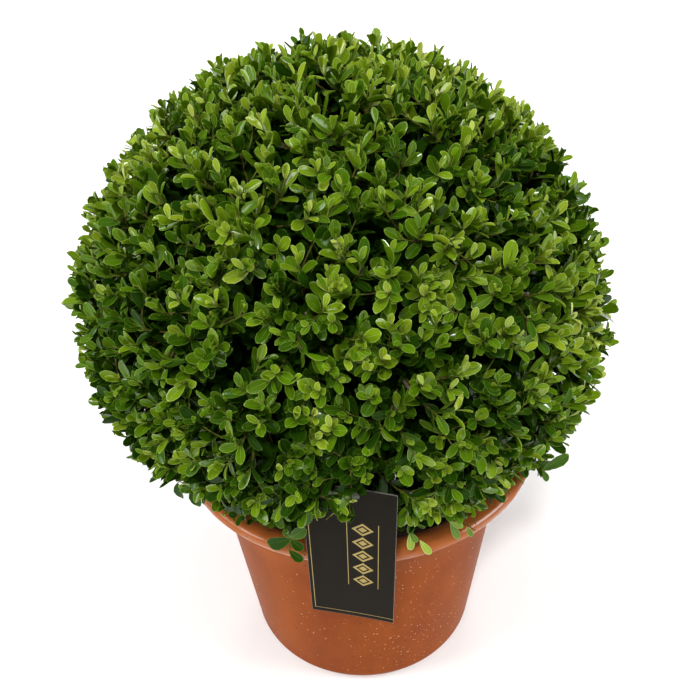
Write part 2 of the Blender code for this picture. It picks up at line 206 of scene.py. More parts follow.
def weld(made, distance=1e-6, sharp_angle=None):
    """Joins corners that coincide, which closes seams and poles, and marks edges sharper than the angle."""
    bm = bmesh.new()
    bm.from_mesh(made.data)
    bmesh.ops.remove_doubles(bm, verts=bm.verts, dist=distance)
    bmesh.ops.dissolve_degenerate(bm, edges=bm.edges, dist=distance)
    bm.to_mesh(made.data)
    bm.free()
    if sharp_angle is not None:
        made.data.set_sharp_from_angle(angle=sharp_angle)
    return made


def dress(made, finish, slot, *nodes):
    """Gives a piece its finish, lets it ride on the body, and has it stand for the nodes; the slot is not
    used.
    """
    made.data.materials.append(finish)
    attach(made, "root")
    if nodes:
        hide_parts(*nodes)


def turned(profile, steps=TURN_STEPS):
    """A grid of points: each point (radius, height) of the profile is carried once round Z."""
    return around(2 * np.pi * np.arange(steps) / steps, profile[:, :1], profile[:, 1:])


def arc(centre, radii, start, end, steps):
    """Points along an elliptical arc in a plane: centre + radii * (cos, sin), with its angles in degrees."""
    angle = np.radians(np.linspace(start, end, steps + 1))
    return around(angle)[:, :2] * radii + centre


def tube_grid(paths, radii, sides):
    """Rings of points square to each path (n, m, 3), at the radii (n, m, 1 or sides).

    A ring's first direction is square to the path and to the world axis that the path leans on least.
    """
    along = unit(np.gradient(paths, axis=1))
    guide = np.eye(3)[np.abs(unit(paths[:, -1] - paths[:, 0])).argmin(-1)][:, None]
    across = unit(np.cross(guide, along))
    third = np.cross(along, across)
    angle = 2 * np.pi * np.arange(sides)[:, None] / sides
    ring = across[:, :, None] * np.cos(angle) + third[:, :, None] * np.sin(angle)
    return paths[:, :, None] + radii[..., None] * ring


def tubes(name, paths, radii, sides):
    """One mesh of closed tapering tubes round many paths; each end is a fan to its own middle."""
    count, stations = paths.shape[:2]
    rings = tube_grid(paths, radii, sides).reshape(count, -1, 3)
    corners = np.concatenate([rings, paths[:, :1], paths[:, -1:]], axis=1)
    faces = [copies(each, *corners.shape[:2]) for each in capped_faces(stations, sides)]
    return mesh_object(name, corners, faces)


def bezier(controls, shares):
    """Points of Bezier curves: controls (n, k + 1, 3) and shares (m) or (n, m) give (n, m, 3).

    Control i weighs (k choose i) * s^i * (1 - s)^(k - i) at the share s.
    """
    s = np.broadcast_to(shares, (len(controls), np.shape(shares)[-1]))[..., None]
    k = controls.shape[1] - 1
    return sum(math.comb(k, i) * (1 - s) ** (k - i) * s**i * controls[:, None, i] for i in range(k + 1))


def bezier_heading(controls, shares):
    """The unit direction along Bezier curves at the shares: the curve of their controls' differences."""
    return unit(bezier(np.diff(controls, axis=1), shares))


def swing(start, leaving, end, arriving):
    """Controls of curves from start to end, which set out along one vector and arrive along another."""
    return np.stack([start, start + leaving, end - arriving, end], 1)


def straight(start, end):
    """Controls of straight runs from start to end."""
    return np.stack([start + (end - start) * share for share in (0, 1 / 3, 2 / 3, 1)], 1)


# Finishes


class Socket:
    """A shader socket that takes part in arithmetic: each operator adds one Math node."""

    def __init__(self, finish, output):
        self.finish, self.output = finish, output

    def math(self, operation, first, second):
        """The result of a new Math node."""
        return self.finish.node("ShaderNodeMath", {"operation": operation}, {0: first, 1: second})

    def __add__(self, other):
        return self.math("ADD", self, other)

    def __sub__(self, other):
        return self.math("SUBTRACT", self, other)

    def __mul__(self, other):
        return self.math("MULTIPLY", self, other)

    __radd__ = __add__

    def clipped(self):
        """The value held between 0 and 1."""
        return self.finish.node("ShaderNodeClamp", {}, {0: self})

    def past(self, start, gain):
        """0 up to the start, then rising by the gain for each unit, to 1."""
        return ((self - start) * gain).clipped()


class Finish:
    """A material with one Principled shader: constants are set on its sockets, node() adds any other node."""

    def __init__(self, name, colour, roughness, **constants):
        self.material = bpy.data.materials.new(name)
        self.material.use_nodes = True
        self.tree = self.material.node_tree
        self.shader = self.tree.nodes["Principled BSDF"]
        self.set("Base Color", (*colour, 1.0))
        self.set("Roughness", roughness)
        for socket, value in constants.items():
            self.set(socket.replace("_", " "), value)

    def set(self, socket, value):
        """Fills one of the shader's sockets, by its name."""
        self.fill(self.shader.inputs[socket], value)

    def fill(self, entry, value):
        """Sets one socket of a node, or links what varies to it."""
        if isinstance(value, Socket):
            self.tree.links.new(value.output, entry)
        else:
            entry.default_value = value

    def node(self, kind, settings, sockets, output=0):
        """Adds a node: its settings first, then the values or links of its sockets."""
        made = self.tree.nodes.new(kind)
        for name, value in settings.items():
            setattr(made, name, value)
        for name, value in sockets.items():
            self.fill(made.inputs[name], value)
        return Socket(self, made.outputs[output])

    def place(self, stretch=(1.0, 1.0, 1.0)):
        """Object coordinates, stretched along each axis."""
        coordinates = self.node("ShaderNodeTexCoord", {}, {}, "Object")
        return self.node("ShaderNodeMapping", {}, {"Vector": coordinates, "Scale": stretch})

    def noise(self, place, size, detail=2.0, roughness=0.5):
        """Noise between 0 and 1 whose features are about as long as the size, in metres."""
        sockets = {"Vector": place, "Scale": 1 / size, "Detail": detail, "Roughness": roughness}
        return self.node("ShaderNodeTexNoise", {}, sockets)

    def mix(self, share, first, second):
        """The first colour where the share is 0, the second where it is 1."""
        colours = [value if isinstance(value, Socket) else (*value, 1.0) for value in (first, second)]
        return self.node("ShaderNodeMix", {"data_type": "RGBA"}, {0: share, 6: colours[0], 7: colours[1]}, 2)

    def bump(self, height, distance):
        """Relief of a height between 0 and 1 times the distance."""
        sockets = {"Height": height, "Distance": distance, "Strength": 1.0}
        self.set("Normal", self.node("ShaderNodeBump", {}, sockets))


# Painted light on the pot: the height where the paler colour starts and how fast it rises
PAINTED_LIGHT_RIM_HEIGHT = 0.1480
PAINTED_LIGHT_RIM_RISE = 13.5
WET_RIM_HEIGHT = 0.2085
WET_RIM_RISE = 300.0


def terracotta_finish():
    """Satin moulded terracotta colour: cloudy mottling, faint turning marks, dark specks and a fine grain.

    It is painted paler from the middle up to the lip, a painted light on the upper pot and lip, and the lip's
    top has a broken wet gloss.
    """
    finish = Finish("terracotta", (0.27, 0.060, 0.004), 0.42, Specular_IOR_Level=0.055, Coat_Roughness=0.20)
    place = finish.place()
    clouds = finish.noise(place, 0.050, 4.0, 0.60)
    grain = finish.noise(place, 0.0022)
    streaks = finish.noise(finish.place((34.0, 34.0, 7.0)), 1.0, 3.0, 0.6)
    marks = finish.noise(finish.place((6.0, 6.0, 260.0)), 1.0)
    pits = finish.noise(place, 0.0030, 1.0).past(0.735, 30.0)
    height = finish.node("ShaderNodeSeparateXYZ", {}, {"Vector": place}, 2)
    cloud_share = ((clouds - 0.35) * 1.7 + (streaks - 0.40) * 1.4 + (grain - 0.5) * 0.6).clipped()
    colour = finish.mix(cloud_share, (0.212, 0.040, 0.0017), (0.300, 0.067, 0.0044))
    # Painted light: the colour turns paler towards the lip, standing in for light on the upper pot and lip.
    colour = finish.mix(height.past(PAINTED_LIGHT_RIM_HEIGHT, PAINTED_LIGHT_RIM_RISE), colour, (0.400, 0.112, 0.0260))
    finish.set("Base Color", finish.mix(pits, colour, (0.045, 0.010, 0.003)))
    finish.set("Roughness", 0.36 + clouds * 0.10 + grain * 0.06)
    finish.set("Coat Weight", height.past(WET_RIM_HEIGHT, WET_RIM_RISE) * clouds.past(0.38, 6.0))
    finish.bump(grain * 0.6 + marks * 0.4 - pits * 0.8, 0.00018)
    return finish.material


def compost_finish():
    """Dark crumbly compost with pale fibres."""
    finish = Finish("compost", (0.030, 0.018, 0.011), 0.95)
    crumbs = finish.noise(finish.place(), 0.0045, 4.0, 0.7)
    fibres = finish.noise(finish.place((1.0, 4.0, 1.0)), 0.004).past(0.62, 9.0)
    colour = finish.mix(crumbs, (0.012, 0.007, 0.004), (0.060, 0.036, 0.022))
    finish.set("Base Color", finish.mix(fibres, colour, (0.13, 0.085, 0.050)))
    finish.bump(crumbs, 0.0015)
    return finish.material


def bark_finish():
    """Grey-brown bark, streaked along the limb, with pale pores."""
    finish = Finish("bark", (0.16, 0.11, 0.075), 0.85)
    streaks = finish.noise(finish.place((1.0, 1.0, 0.25)), 0.0030, 4.0, 0.65)
    pores = finish.noise(finish.place((1.0, 1.0, 2.5)), 0.0028, 1.0).past(0.66, 14.0)
    colour = finish.mix(streaks, (0.070, 0.044, 0.028), (0.230, 0.165, 0.115))
    finish.set("Base Color", finish.mix(pores, colour, (0.33, 0.27, 0.20)))
    finish.bump(streaks, 0.0010)
    return finish.material


def card_finish():
    """Matt black card, barely mottled."""
    finish = Finish("card_black", (0.010, 0.008, 0.005), 0.55, Specular_IOR_Level=0.03)
    place = finish.place()
    clouds = finish.noise(place, 0.020, 4.0, 0.6)
    finish.set("Base Color", finish.mix(clouds, (0.007, 0.0055, 0.0032), (0.016, 0.0130, 0.0080)))
    finish.set("Roughness", 0.42 + clouds * 0.16)
    finish.bump(finish.noise(place, 0.0008), 0.00003)
    return finish.material


# Pot, drops and compost

OUTSIDE_POINTS, INSIDE_POINTS = 26, 20
FOOT_STEPS, FLARE_STEPS, LIP_STEPS = 12, 20, 16
OUTER_FLARE_END, INNER_FLARE_START = 96, 94
FLOOR_RINGS = 5


def inner_radius(height):
    """The pot's inside radius at a height below the flare."""
    share = (height - FLOOR_THICKNESS) / (NECK_HEIGHT + WALL - FLOOR_THICKNESS)
    foot = FOOT_RADIUS - WALL
    return foot + (NECK_RADIUS - WALL - foot) * share


FLOOR_RADIUS = inner_radius(FLOOR_THICKNESS) - WALL


def outer_radius(height):
    """The pot's outside radius at a height between the rounded foot and the neck."""
    return FOOT_RADIUS + (NECK_RADIUS - FOOT_RADIUS) * (height - FOOT_ROUND) / (NECK_HEIGHT - FOOT_ROUND)


def pot_profile():
    """Round the foot, up the outside, over the rounded lip and down the inside to the floor."""
    lip_centre = (LIP_RADIUS - LIP_ROUND, POT_HEIGHT - LIP_ROUND)
    flare_depth = lip_centre[0] - NECK_RADIUS
    foot = arc((FOOT_RADIUS - FOOT_ROUND, FOOT_ROUND), (FOOT_ROUND, FOOT_ROUND), -90, 0, FOOT_STEPS)
    heights = np.linspace(FOOT_ROUND, NECK_HEIGHT, OUTSIDE_POINTS)[1:-1]
    outside = np.stack([outer_radius(heights), heights], -1)
    outer_size = (flare_depth, lip_centre[1] - LIP_ROUND - NECK_HEIGHT)
    outer_flare = arc((lip_centre[0], NECK_HEIGHT), outer_size, 180, OUTER_FLARE_END, FLARE_STEPS)
    lip = arc(lip_centre, (LIP_ROUND, LIP_ROUND), -90, 90, LIP_STEPS)
    inner_base = NECK_HEIGHT + WALL
    inner_size = (flare_depth + WALL, POT_HEIGHT - NECK_HEIGHT - WALL)
    inner_flare = arc((lip_centre[0], inner_base), inner_size, INNER_FLARE_START, 180, FLARE_STEPS)
    depths = np.linspace(inner_base, FLOOR_THICKNESS + WALL, INSIDE_POINTS)[1:]
    inside = np.stack([inner_radius(depths), depths], -1)
    floor = [[FLOOR_RADIUS, FLOOR_THICKNESS]]
    return np.concatenate([foot, outside, outer_flare, lip, inner_flare, inside, floor])


def holed_sheet(outline, centre, radius, rings):
    """Rings of flat points from a round hole's edge out to a closed outline, both in a plane.

    Each point goes straight from the hole's edge to its outline point: edge + (outline - edge) * share.
    """
    edge = centre + unit(outline - centre) * radius
    share = np.linspace(0, 1, rings)[:, None, None]
    return edge + (outline - edge) * share


def drain_sector(radius):
    """One slice of the pot's floor, anticlockwise: out from the axis, round the rim and back."""
    half = math.pi / DRAIN_COUNT
    out = np.linspace(0, radius, 12)[:, None]
    rim = around(np.linspace(-half, half, TURN_STEPS // DRAIN_COUNT + 1))[:, :2]
    return np.concatenate([out * rim[:1], radius * rim[1:-1], (out * rim[-1:])[:0:-1]])


def pot_floor():
    """The pot's floor in equal slices, each one a closed loop of rings round its drain hole.

    From the underside's outline in to the hole, up its wall, and out over the top to the inside's outline.
    """
    hole = np.array([DRAIN_RING, 0.0])
    under = holed_sheet(drain_sector(FOOT_RADIUS - FOOT_ROUND), hole, DRAIN_RADIUS, FLOOR_RINGS)[::-1]
    over = holed_sheet(drain_sector(FLOOR_RADIUS), hole, DRAIN_RADIUS, FLOOR_RINGS)
    level = np.zeros(under.shape[:2])
    part = np.concatenate([np.dstack([under, level]), np.dstack([over, level + FLOOR_THICKNESS])])
    turns = [Matrix.Rotation(2 * math.pi * index / DRAIN_COUNT, 3, "Z") for index in range(DRAIN_COUNT)]
    corners = np.concatenate([part.reshape(-1, 3) @ np.array(turn).T for turn in turns])
    return corners, copies(grid_faces(*part.shape[:2]), DRAIN_COUNT, part.shape[0] * part.shape[1])


def build_pot():
    """The turned pot, whose floor slices close it round the drain holes."""
    wall = turned(pot_profile())
    floor_corners, floor_faces = pot_floor()
    corners = np.concatenate([wall.reshape(-1, 3), floor_corners])
    faces = [grid_faces(len(wall), TURN_STEPS), floor_faces + wall.shape[0] * wall.shape[1]]
    pot = weld(mesh_object("pot_body", corners, faces), 2e-5, math.radians(40))
    dress(pot, terracotta_finish(), "terracotta", "pot")


DROP_SEED = 5
DROP_COUNT = 950
DROP_RADII = (0.00022, 0.00072)
DROP_SIDES = 7
# Share of drops thrown towards the front right, the turn that they are thrown to and its spread, in degrees
THROWN_SHARE, THROWN_TURN, THROWN_SPREAD = 0.35, -68, 20
# A dome's rings, as shares of its radius, out and up, and how far up the middles of its base and top are
DROP_RINGS = ((1.0, -0.30), (0.92, 0.12), (0.55, 0.38))
DROP_ENDS = (-0.30, 0.46)


def build_drops():
    """Water drops on the pot's outside, painted paler than it as a painted highlight: low domes, a third of
    them thrown to the front right.

    A dome's rings lie at shares of its radius, as high as a flattened sphere. Its rim sinks into the wall.
    """
    chance = np.random.default_rng(DROP_SEED)
    angle = chance.uniform(0, 2 * np.pi, DROP_COUNT)
    thrown = chance.uniform(size=DROP_COUNT) < THROWN_SHARE
    angle = np.where(thrown, np.radians(chance.normal(THROWN_TURN, THROWN_SPREAD, DROP_COUNT)), angle)
    height = FOOT_ROUND + (NECK_HEIGHT - FOOT_ROUND) * chance.beta(1.2, 1.5, DROP_COUNT)
    radius = DROP_RADII[0] + (DROP_RADII[1] - DROP_RADII[0]) * chance.uniform(size=DROP_COUNT) ** 3
    outward = around(angle)
    slope = (NECK_RADIUS - FOOT_RADIUS) / (NECK_HEIGHT - FOOT_ROUND)
    normal = unit(outward - slope * UP)[:, None]
    across = np.cross(UP, outward)[:, None]
    rise = np.cross(normal, across)
    place = around(angle, outer_radius(height), height)[:, None]
    size = radius[:, None, None]
    turn = 2 * np.pi * np.arange(DROP_SIDES)[:, None] / DROP_SIDES
    circle = across * np.cos(turn) + rise * np.sin(turn)
    rings = [place + (circle * share + normal * lift) * size for share, lift in DROP_RINGS]
    ends = [place + normal * lift * size for lift in DROP_ENDS]
    corners = np.concatenate([*rings, *ends], axis=1)
    faces = [copies(each, *corners.shape[:2]) for each in capped_faces(len(DROP_RINGS), DROP_SIDES)]
    # Painted highlight: the drops' paler terracotta stands for the light that the water catches.
    finish = Finish("water_drop", (0.62, 0.29, 0.11), 0.30).material
    dress(mesh_object("water_drops", corners, faces), finish, "terracotta")


COMPOST_RINGS, COMPOST_STEPS = 90, 200
CRUMB_SIZE, GRIT_SIZE, GRIT_SHARE = 0.011, 0.0052, 0.8
CRUMB_RISE, CRUMB_DROP = 0.0011, 1.2
CRUMB_FADE = 0.006


def build_compost():
    """The compost: a turned filling whose top is rough with crumbs, which fade to nothing at the wall."""
    low = FLOOR_THICKNESS + GAP
    radii = np.linspace(0.0, inner_radius(COMPOST_EDGE_HEIGHT) - GAP, COMPOST_RINGS)
    mound = np.clip((radii - COMPOST_FLAT_RADIUS) / (radii[-1] - COMPOST_FLAT_RADIUS), 0, 1)
    top = np.stack([radii, COMPOST_TOP_HEIGHT + (COMPOST_EDGE_HEIGHT - COMPOST_TOP_HEIGHT) * mound], -1)[::-1]
    corner = low + WALL
    side = [[0.0, low], [FLOOR_RADIUS - GAP, low], [inner_radius(corner) - GAP, corner]]
    points = turned(np.concatenate([side, top]), COMPOST_STEPS)
    radius = np.hypot(points[..., 0], points[..., 1])
    on_top = points[..., 2] > COMPOST_EDGE_HEIGHT + 1e-6
    crumbs = ripple(points, CRUMB_SIZE, 3) + GRIT_SHARE * ripple(points, GRIT_SIZE, 4)
    fade = np.clip((radii[-1] - radius) / CRUMB_FADE, 0, 1)
    points[..., 2] += np.where(on_top, CRUMB_RISE * (crumbs - CRUMB_DROP) * fade, 0.0)
    compost = mesh_object("compost_filling", points, [grid_faces(*points.shape[:2])])
    dress(weld(compost, 1e-6, math.radians(60)), compost_finish(), "compost", "compost")


# Crown: its reach and what it keeps clear of


def reach(directions):
    """How far the crown goes from its centre in each direction.

    It is a ball with soft bulges, cut by a skirt that narrows downwards at 45 degrees and by a level foot.
    A high power of each distance's inverse rounds the edges where they meet.
    """
    ball = CROWN_RADIUS
    for middle, swell in BULGES:
        ball = ball + swell * np.maximum(0.0, directions @ unit(np.array(middle))) ** BULGE_WIDTH
    sideways = np.hypot(directions[..., 0], directions[..., 1])
    skirt = (sideways - directions[..., 2]) / (SKIRT_RADIUS + CROWN_CENTRE[2] - SKIRT_HEIGHT)
    foot = -directions[..., 2] / (CROWN_CENTRE[2] - CROWN_FOOT_HEIGHT)
    inverses = np.stack([1 / ball, np.maximum(skirt, 0.0), np.maximum(foot, 0.0)])
    return (inverses**EDGE_SHARPNESS).sum(0) ** (-1 / EDGE_SHARPNESS)


def on_surface(directions, depth=0.0):
    """The points of the clipped surface in each direction from the crown's centre, less a depth."""
    return CROWN_CENTRE + directions * (reach(directions) - depth)[..., None]


def proud(points):
    """How far each point stands out of the clipped surface; below 0 inside it."""
    offset = points - CROWN_CENTRE
    return np.linalg.norm(offset, axis=-1) - reach(unit(offset))


def crown_directions(count, lowest, scatter=0.0, chance=None):
    """Straight up, then even directions round the ball on a golden spiral, scattered, down to the lowest."""
    index = np.arange(count)
    height = 1 - 2 * (index + 0.5) / count
    height[0] = 1.0
    directions = around(index * math.pi * (3 - math.sqrt(5)), np.sqrt(1 - height**2), height)
    if scatter:
        directions = unit(directions + chance.normal(0, scatter, directions.shape))
    return directions[directions[:, 2] > lowest]


# The label's own axes in the world: X along the card, Y in through it, Z up it
CARD_TURN = Matrix.Rotation(CARD_YAW, 4, "Z") @ Matrix.Rotation(CARD_LEAN, 4, "X")
CARD_TURN = CARD_TURN @ Matrix.Rotation(CARD_ROLL, 4, "Y")
CARD_TO_WORLD = np.array(Matrix.Translation(CARD_CENTRE) @ CARD_TURN)
WORLD_TO_CARD = np.linalg.inv(CARD_TO_WORLD)
# Half the card's size
HALF_WIDTH, HALF_HEIGHT, HALF_THICKNESS = CARD_WIDTH / 2, CARD_HEIGHT / 2, CARD_THICKNESS / 2
LABEL_CLEARANCE = 0.0022
# Leaves hang in front of the card only above a line that rises to the right, then steps up past its top edge.
# The line rises with the distance in front of the card, so that the same part of it shows from above.
CURTAIN_MIDDLE = 0.0513
CURTAIN_SLOPE = 0.35
CURTAIN_STEP = 0.036
CURTAIN_STEP_FROM, CURTAIN_STEP_TO = 0.006, 0.015
CURTAIN_RISE = 1.04
LIP_CLEARANCE = 0.0006
# Where the foliage ends higher over the lip: turn round the pot and its spread in degrees, and depth drawn in
LIP_GAPS = ((-130, 14, 0.014), (-38, 12, 0.004))
LIP_GAP_TOP = 0.290
LIP_GAP_FADE = 0.030


def to_card(points):
    """World points in the card's own axes."""
    return points @ WORLD_TO_CARD[:3, :3].T + WORLD_TO_CARD[:3, 3]


def from_card(points):
    """Points in the card's own axes, in the world."""
    return points @ CARD_TO_WORLD[:3, :3].T + CARD_TO_WORLD[:3, 3]


def on_card(points):
    """True where points touch the card, or hang in front of the part of it that stays bare."""
    local = to_card(points)
    beside = np.abs(local) < np.array([HALF_WIDTH, HALF_THICKNESS, HALF_HEIGHT]) + LABEL_CLEARANCE
    step = np.clip((local[..., 0] - CURTAIN_STEP_FROM) / (CURTAIN_STEP_TO - CURTAIN_STEP_FROM), 0, 1)
    curtain = CURTAIN_MIDDLE + CURTAIN_SLOPE * local[..., 0] + CURTAIN_STEP * step
    curtain -= CURTAIN_RISE * local[..., 1]
    return beside.all(-1) | (beside[..., 0] & (local[..., 1] < 0) & (local[..., 2] < curtain))


def drawn_in(points):
    """How far the foliage is drawn in at points: each lip gap's depth, fading round the pot and upwards."""
    turn = np.degrees(np.arctan2(points[..., 1], points[..., 0]))
    low = np.clip((LIP_GAP_TOP - points[..., 2]) / LIP_GAP_FADE, 0, 1)
    return low * sum(depth * np.exp(-(((turn - middle) / spread) ** 2)) for middle, spread, depth in LIP_GAPS)


def in_pot(points):
    """True where points touch the pot's flared lip or the inside below it."""
    radius = np.hypot(points[..., 0], points[..., 1])
    return (points[..., 2] < POT_HEIGHT + LIP_CLEARANCE) & (radius < LIP_RADIUS + LIP_CLEARANCE)


# Trunk, boughs, limbs and shoots

TRUNK_STATIONS, TRUNK_SIDES, TRUNK_RELIEF = 70, 96, 0.0005
BOUGH_STATIONS, BOUGH_SIDES, BOUGH_RELIEF = 17, 24, 0.00022
RIDGE_SIZE, RIDGE_STRETCH, KNOB_SIZE, RIDGE_SHARE = 0.0050, 0.22, 0.0036, 0.65
LEADER_STEPS = 16
LEADER_TIP_RADIUS = 0.0019
# Where a leader ends, out and up from the crown's centre, how it leans, and its pull at either end
LEADER_OUT, LEADER_UP, LEADER_LEAN = 0.082, 0.050, 0.5
LEADER_LEAVING, LEADER_ARRIVING = 0.030, 0.050


def eased(share):
    """A share that starts and ends gently, so a limb leaves and arrives upright."""
    return share * share * (3 - 2 * share)


def bark_limb(name, path, radii, sides, depth, seed, finish):
    """One limb with bark relief: a tube whose radius varies round each ring, never past its own outline.

    The relief is the depth times a sum of long ridges along Z and small knobs. The two end rings are plain.
    """
    smooth = tube_grid(path[None], radii[None, :, None], sides)
    ridges = ripple(smooth * np.array([1.0, 1.0, RIDGE_STRETCH]), RIDGE_SIZE, seed)
    knobs = ripple(smooth, KNOB_SIZE, seed + 1)
    relief = np.minimum(depth * (RIDGE_SHARE * ridges + (1 - RIDGE_SHARE) * knobs) - depth, 0.0)
    relief[:, [0, -1]] = -depth
    dress(tubes(f"{name}_bark", path[None], radii[None, :, None] + relief, sides), finish, "bark", name)


def build_trunk(bark):
    """Up from the flat cut on the compost, out of its root flare and over to its fork."""
    share = np.linspace(0, 1, TRUNK_STATIONS)
    path = np.zeros((len(share), 3))
    path[:, 0] = TRUNK_LEAN * eased(share)
    path[:, 2] = COMPOST_TOP_HEIGHT + GAP + TRUNK_HEIGHT * share
    path[1, 0], path[-2, 0] = path[0, 0], path[-1, 0]
    radii = TRUNK_RADIUS + (ROOT_FLARE_RADIUS - TRUNK_RADIUS) * (1 - share) ** 3
    bark_limb("trunk", path, radii, TRUNK_SIDES, TRUNK_RELIEF, 21, bark)


def bough_ways():
    """The level direction of each bough."""
    return around(2 * np.pi * (np.arange(BOUGH_COUNT) + BOUGH_FIRST_TURN) / BOUGH_COUNT)


def bough_path(outward):
    """A bough from the trunk's top, open out to under the crown, and on as a leader into its middle."""
    foot = np.array([TRUNK_LEAN, 0.0, COMPOST_TOP_HEIGHT + TRUNK_HEIGHT + 2 * GAP])
    rise = CORE_FLOOR_HEIGHT - GAP - foot[2]
    share = np.linspace(0, 1, BOUGH_STATIONS)
    spread = BOUGH_RING + (BOUGH_SPREAD - BOUGH_RING) * eased(share)
    lower = foot + outward * spread[:, None] + rise * UP * share[:, None]
    heading = outward * LEADER_LEAN + UP
    end = CROWN_CENTRE + outward * LEADER_OUT + UP * LEADER_UP
    controls = swing(lower[-1:], heading * LEADER_LEAVING, end[None], heading * LEADER_ARRIVING)
    leader = bezier(controls, np.linspace(0, 1, LEADER_STEPS + 1)[1:])[0]
    lower_radii = BOUGH_BASE_RADIUS + (BOUGH_TIP_RADIUS - BOUGH_BASE_RADIUS) * share
    leader_radii = np.linspace(BOUGH_TIP_RADIUS, LEADER_TIP_RADIUS, LEADER_STEPS + 1)[1:]
    return np.concatenate([lower, leader]), np.concatenate([lower_radii, leader_radii])


def build_boughs(bark):
    """The five boughs."""
    for index, outward in enumerate(bough_ways()):
        bark_limb(f"bough_{index + 1}", *bough_path(outward), BOUGH_SIDES, BOUGH_RELIEF, 40 + index, bark)


LIMB_COUNT = 65
LOWEST_LIMB = -0.60
HIGHEST_START = 0.90
LIMB_STATIONS = 14
LIMB_TIP_DEPTH = 0.020
LIMB_RISE = 0.7
LIMB_LEAVING, LIMB_ARRIVING = 0.30, 0.35


def grow_limbs():
    """The limbs' directions and controls: each from a bough's leader, its own way, almost to the surface.

    A limb leaves the leader that points most its way, the lower down the lower it is aimed.
    """
    directions = crown_directions(LIMB_COUNT, LOWEST_LIMB)
    ways = bough_ways()
    leaders = np.stack([bough_path(outward)[0][-LEADER_STEPS:] for outward in ways])
    bough = (directions[:, :2] @ ways[:, :2].T).argmax(-1)
    height = (directions[:, 2] - LOWEST_LIMB) / (HIGHEST_START - LOWEST_LIMB)
    start = leaders[bough, np.clip(height * LEADER_STEPS, 0, LEADER_STEPS - 1).astype(int)]
    end = on_surface(directions, LIMB_TIP_DEPTH)
    length = np.linalg.norm(end - start, axis=-1, keepdims=True)
    leaving = unit(directions + LIMB_RISE * UP) * length * LIMB_LEAVING
    return directions, swing(start, leaving, end, directions * length * LIMB_ARRIVING)


SHOOT_COUNT = 940
SHOOT_SCATTER = 0.022
LOWEST_SHOOT = -0.82
SHOOT_SEED = 11
TIP_LEAF_LENGTH = 0.0075
# How a shoot's tip turns up: its full lift, and the height of direction it grows from and over
SHOOT_LIFT, LIFT_FROM, LIFT_GROWS = 0.95, -0.72, 0.60
# Where a main shoot leaves its limb: the furthest share, its loss for each radian apart, chance and the least
SHOOT_FURTHEST, SHOOT_LOSS, SHOOT_CHANCE, SHOOT_LEAST = 0.97, 1.15, 0.12, 0.35
# Depths of tips, spread of headings, and the shares of its length that bend a shoot at its start and its end
MAIN_DEPTHS, MAIN_SPREAD, MAIN_LEAVING, MAIN_ARRIVING = (-0.0020, 0.0060), 0.16, 0.33, 0.38
SIDE_DEPTHS, SIDE_SPREAD, SIDE_LEAVING, SIDE_ARRIVING = (0.0010, 0.0090), 0.20, 0.35, 0.40
SIDE_SHOOTS = 2
SIDE_STARTS = (0.42, 0.80)
SIDE_TILT = 0.060
SHOOT_ALLOWANCE = 0.004


def shoot_ends(directions, depths, spread, chance):
    """Where each shoot ends, under its tip leaf, and its way there: outwards, up and a little at random.

    The tip points less up the lower the shoot is.
    """
    lift = SHOOT_LIFT * np.clip((directions[:, 2] - LIFT_FROM) / LIFT_GROWS, 0, 1)
    heading = unit(directions + UP * lift[:, None] + chance.normal(0, spread, directions.shape))
    depth = chance.uniform(*depths, len(directions)) + drawn_in(on_surface(directions))
    return on_surface(directions, depth) - heading * TIP_LEAF_LENGTH, heading


def grow_shoots(limb_directions, limb_controls, chance):
    """Directions and controls of the main shoots: from the limb that points most their way to the surface.

    A shoot leaves its limb the deeper down the further its own direction is from the limb's.
    One that the card would cut starts above the card instead, and droops in front of it.
    """
    directions = crown_directions(SHOOT_COUNT, LOWEST_SHOOT, SHOOT_SCATTER, chance)
    likeness = directions @ limb_directions.T
    limb = likeness.argmax(-1)
    apart = np.arccos(np.clip(likeness.max(-1), -1, 1))
    share = SHOOT_FURTHEST - apart * SHOOT_LOSS - chance.uniform(0, SHOOT_CHANCE, len(limb))
    share = np.clip(share, SHOOT_LEAST, SHOOT_FURTHEST)[:, None]
    start = bezier(limb_controls[limb], share)[:, 0]
    leaving = bezier_heading(limb_controls[limb], share)[:, 0]
    end, heading = shoot_ends(directions, MAIN_DEPTHS, MAIN_SPREAD, chance)
    length = np.linalg.norm(end - start, axis=-1, keepdims=True)
    leaving = unit(leaving + directions) * length * MAIN_LEAVING
    controls = swing(start, leaving, end, heading * length * MAIN_ARRIVING)
    return directions, droop_over_card(directions, controls, limb_controls)


CARD_BERTH = 0.004
# A drooping shoot's bend over the card: how far above and in front of its top edge, and the fall from there
DROOP_ABOVE, DROOP_BEFORE, DROOP_FALL, DROOP_PULL = 0.016, 0.004, 0.55, 0.5
# Limb points that it may start from: shares of the limb, height above the card's top edge at least, and
# distance in front of it at most
DROOP_STARTS = np.linspace(0.3, 0.95, 14)
DROOP_START_ABOVE, DROOP_START_BEFORE = 0.010, 0.030


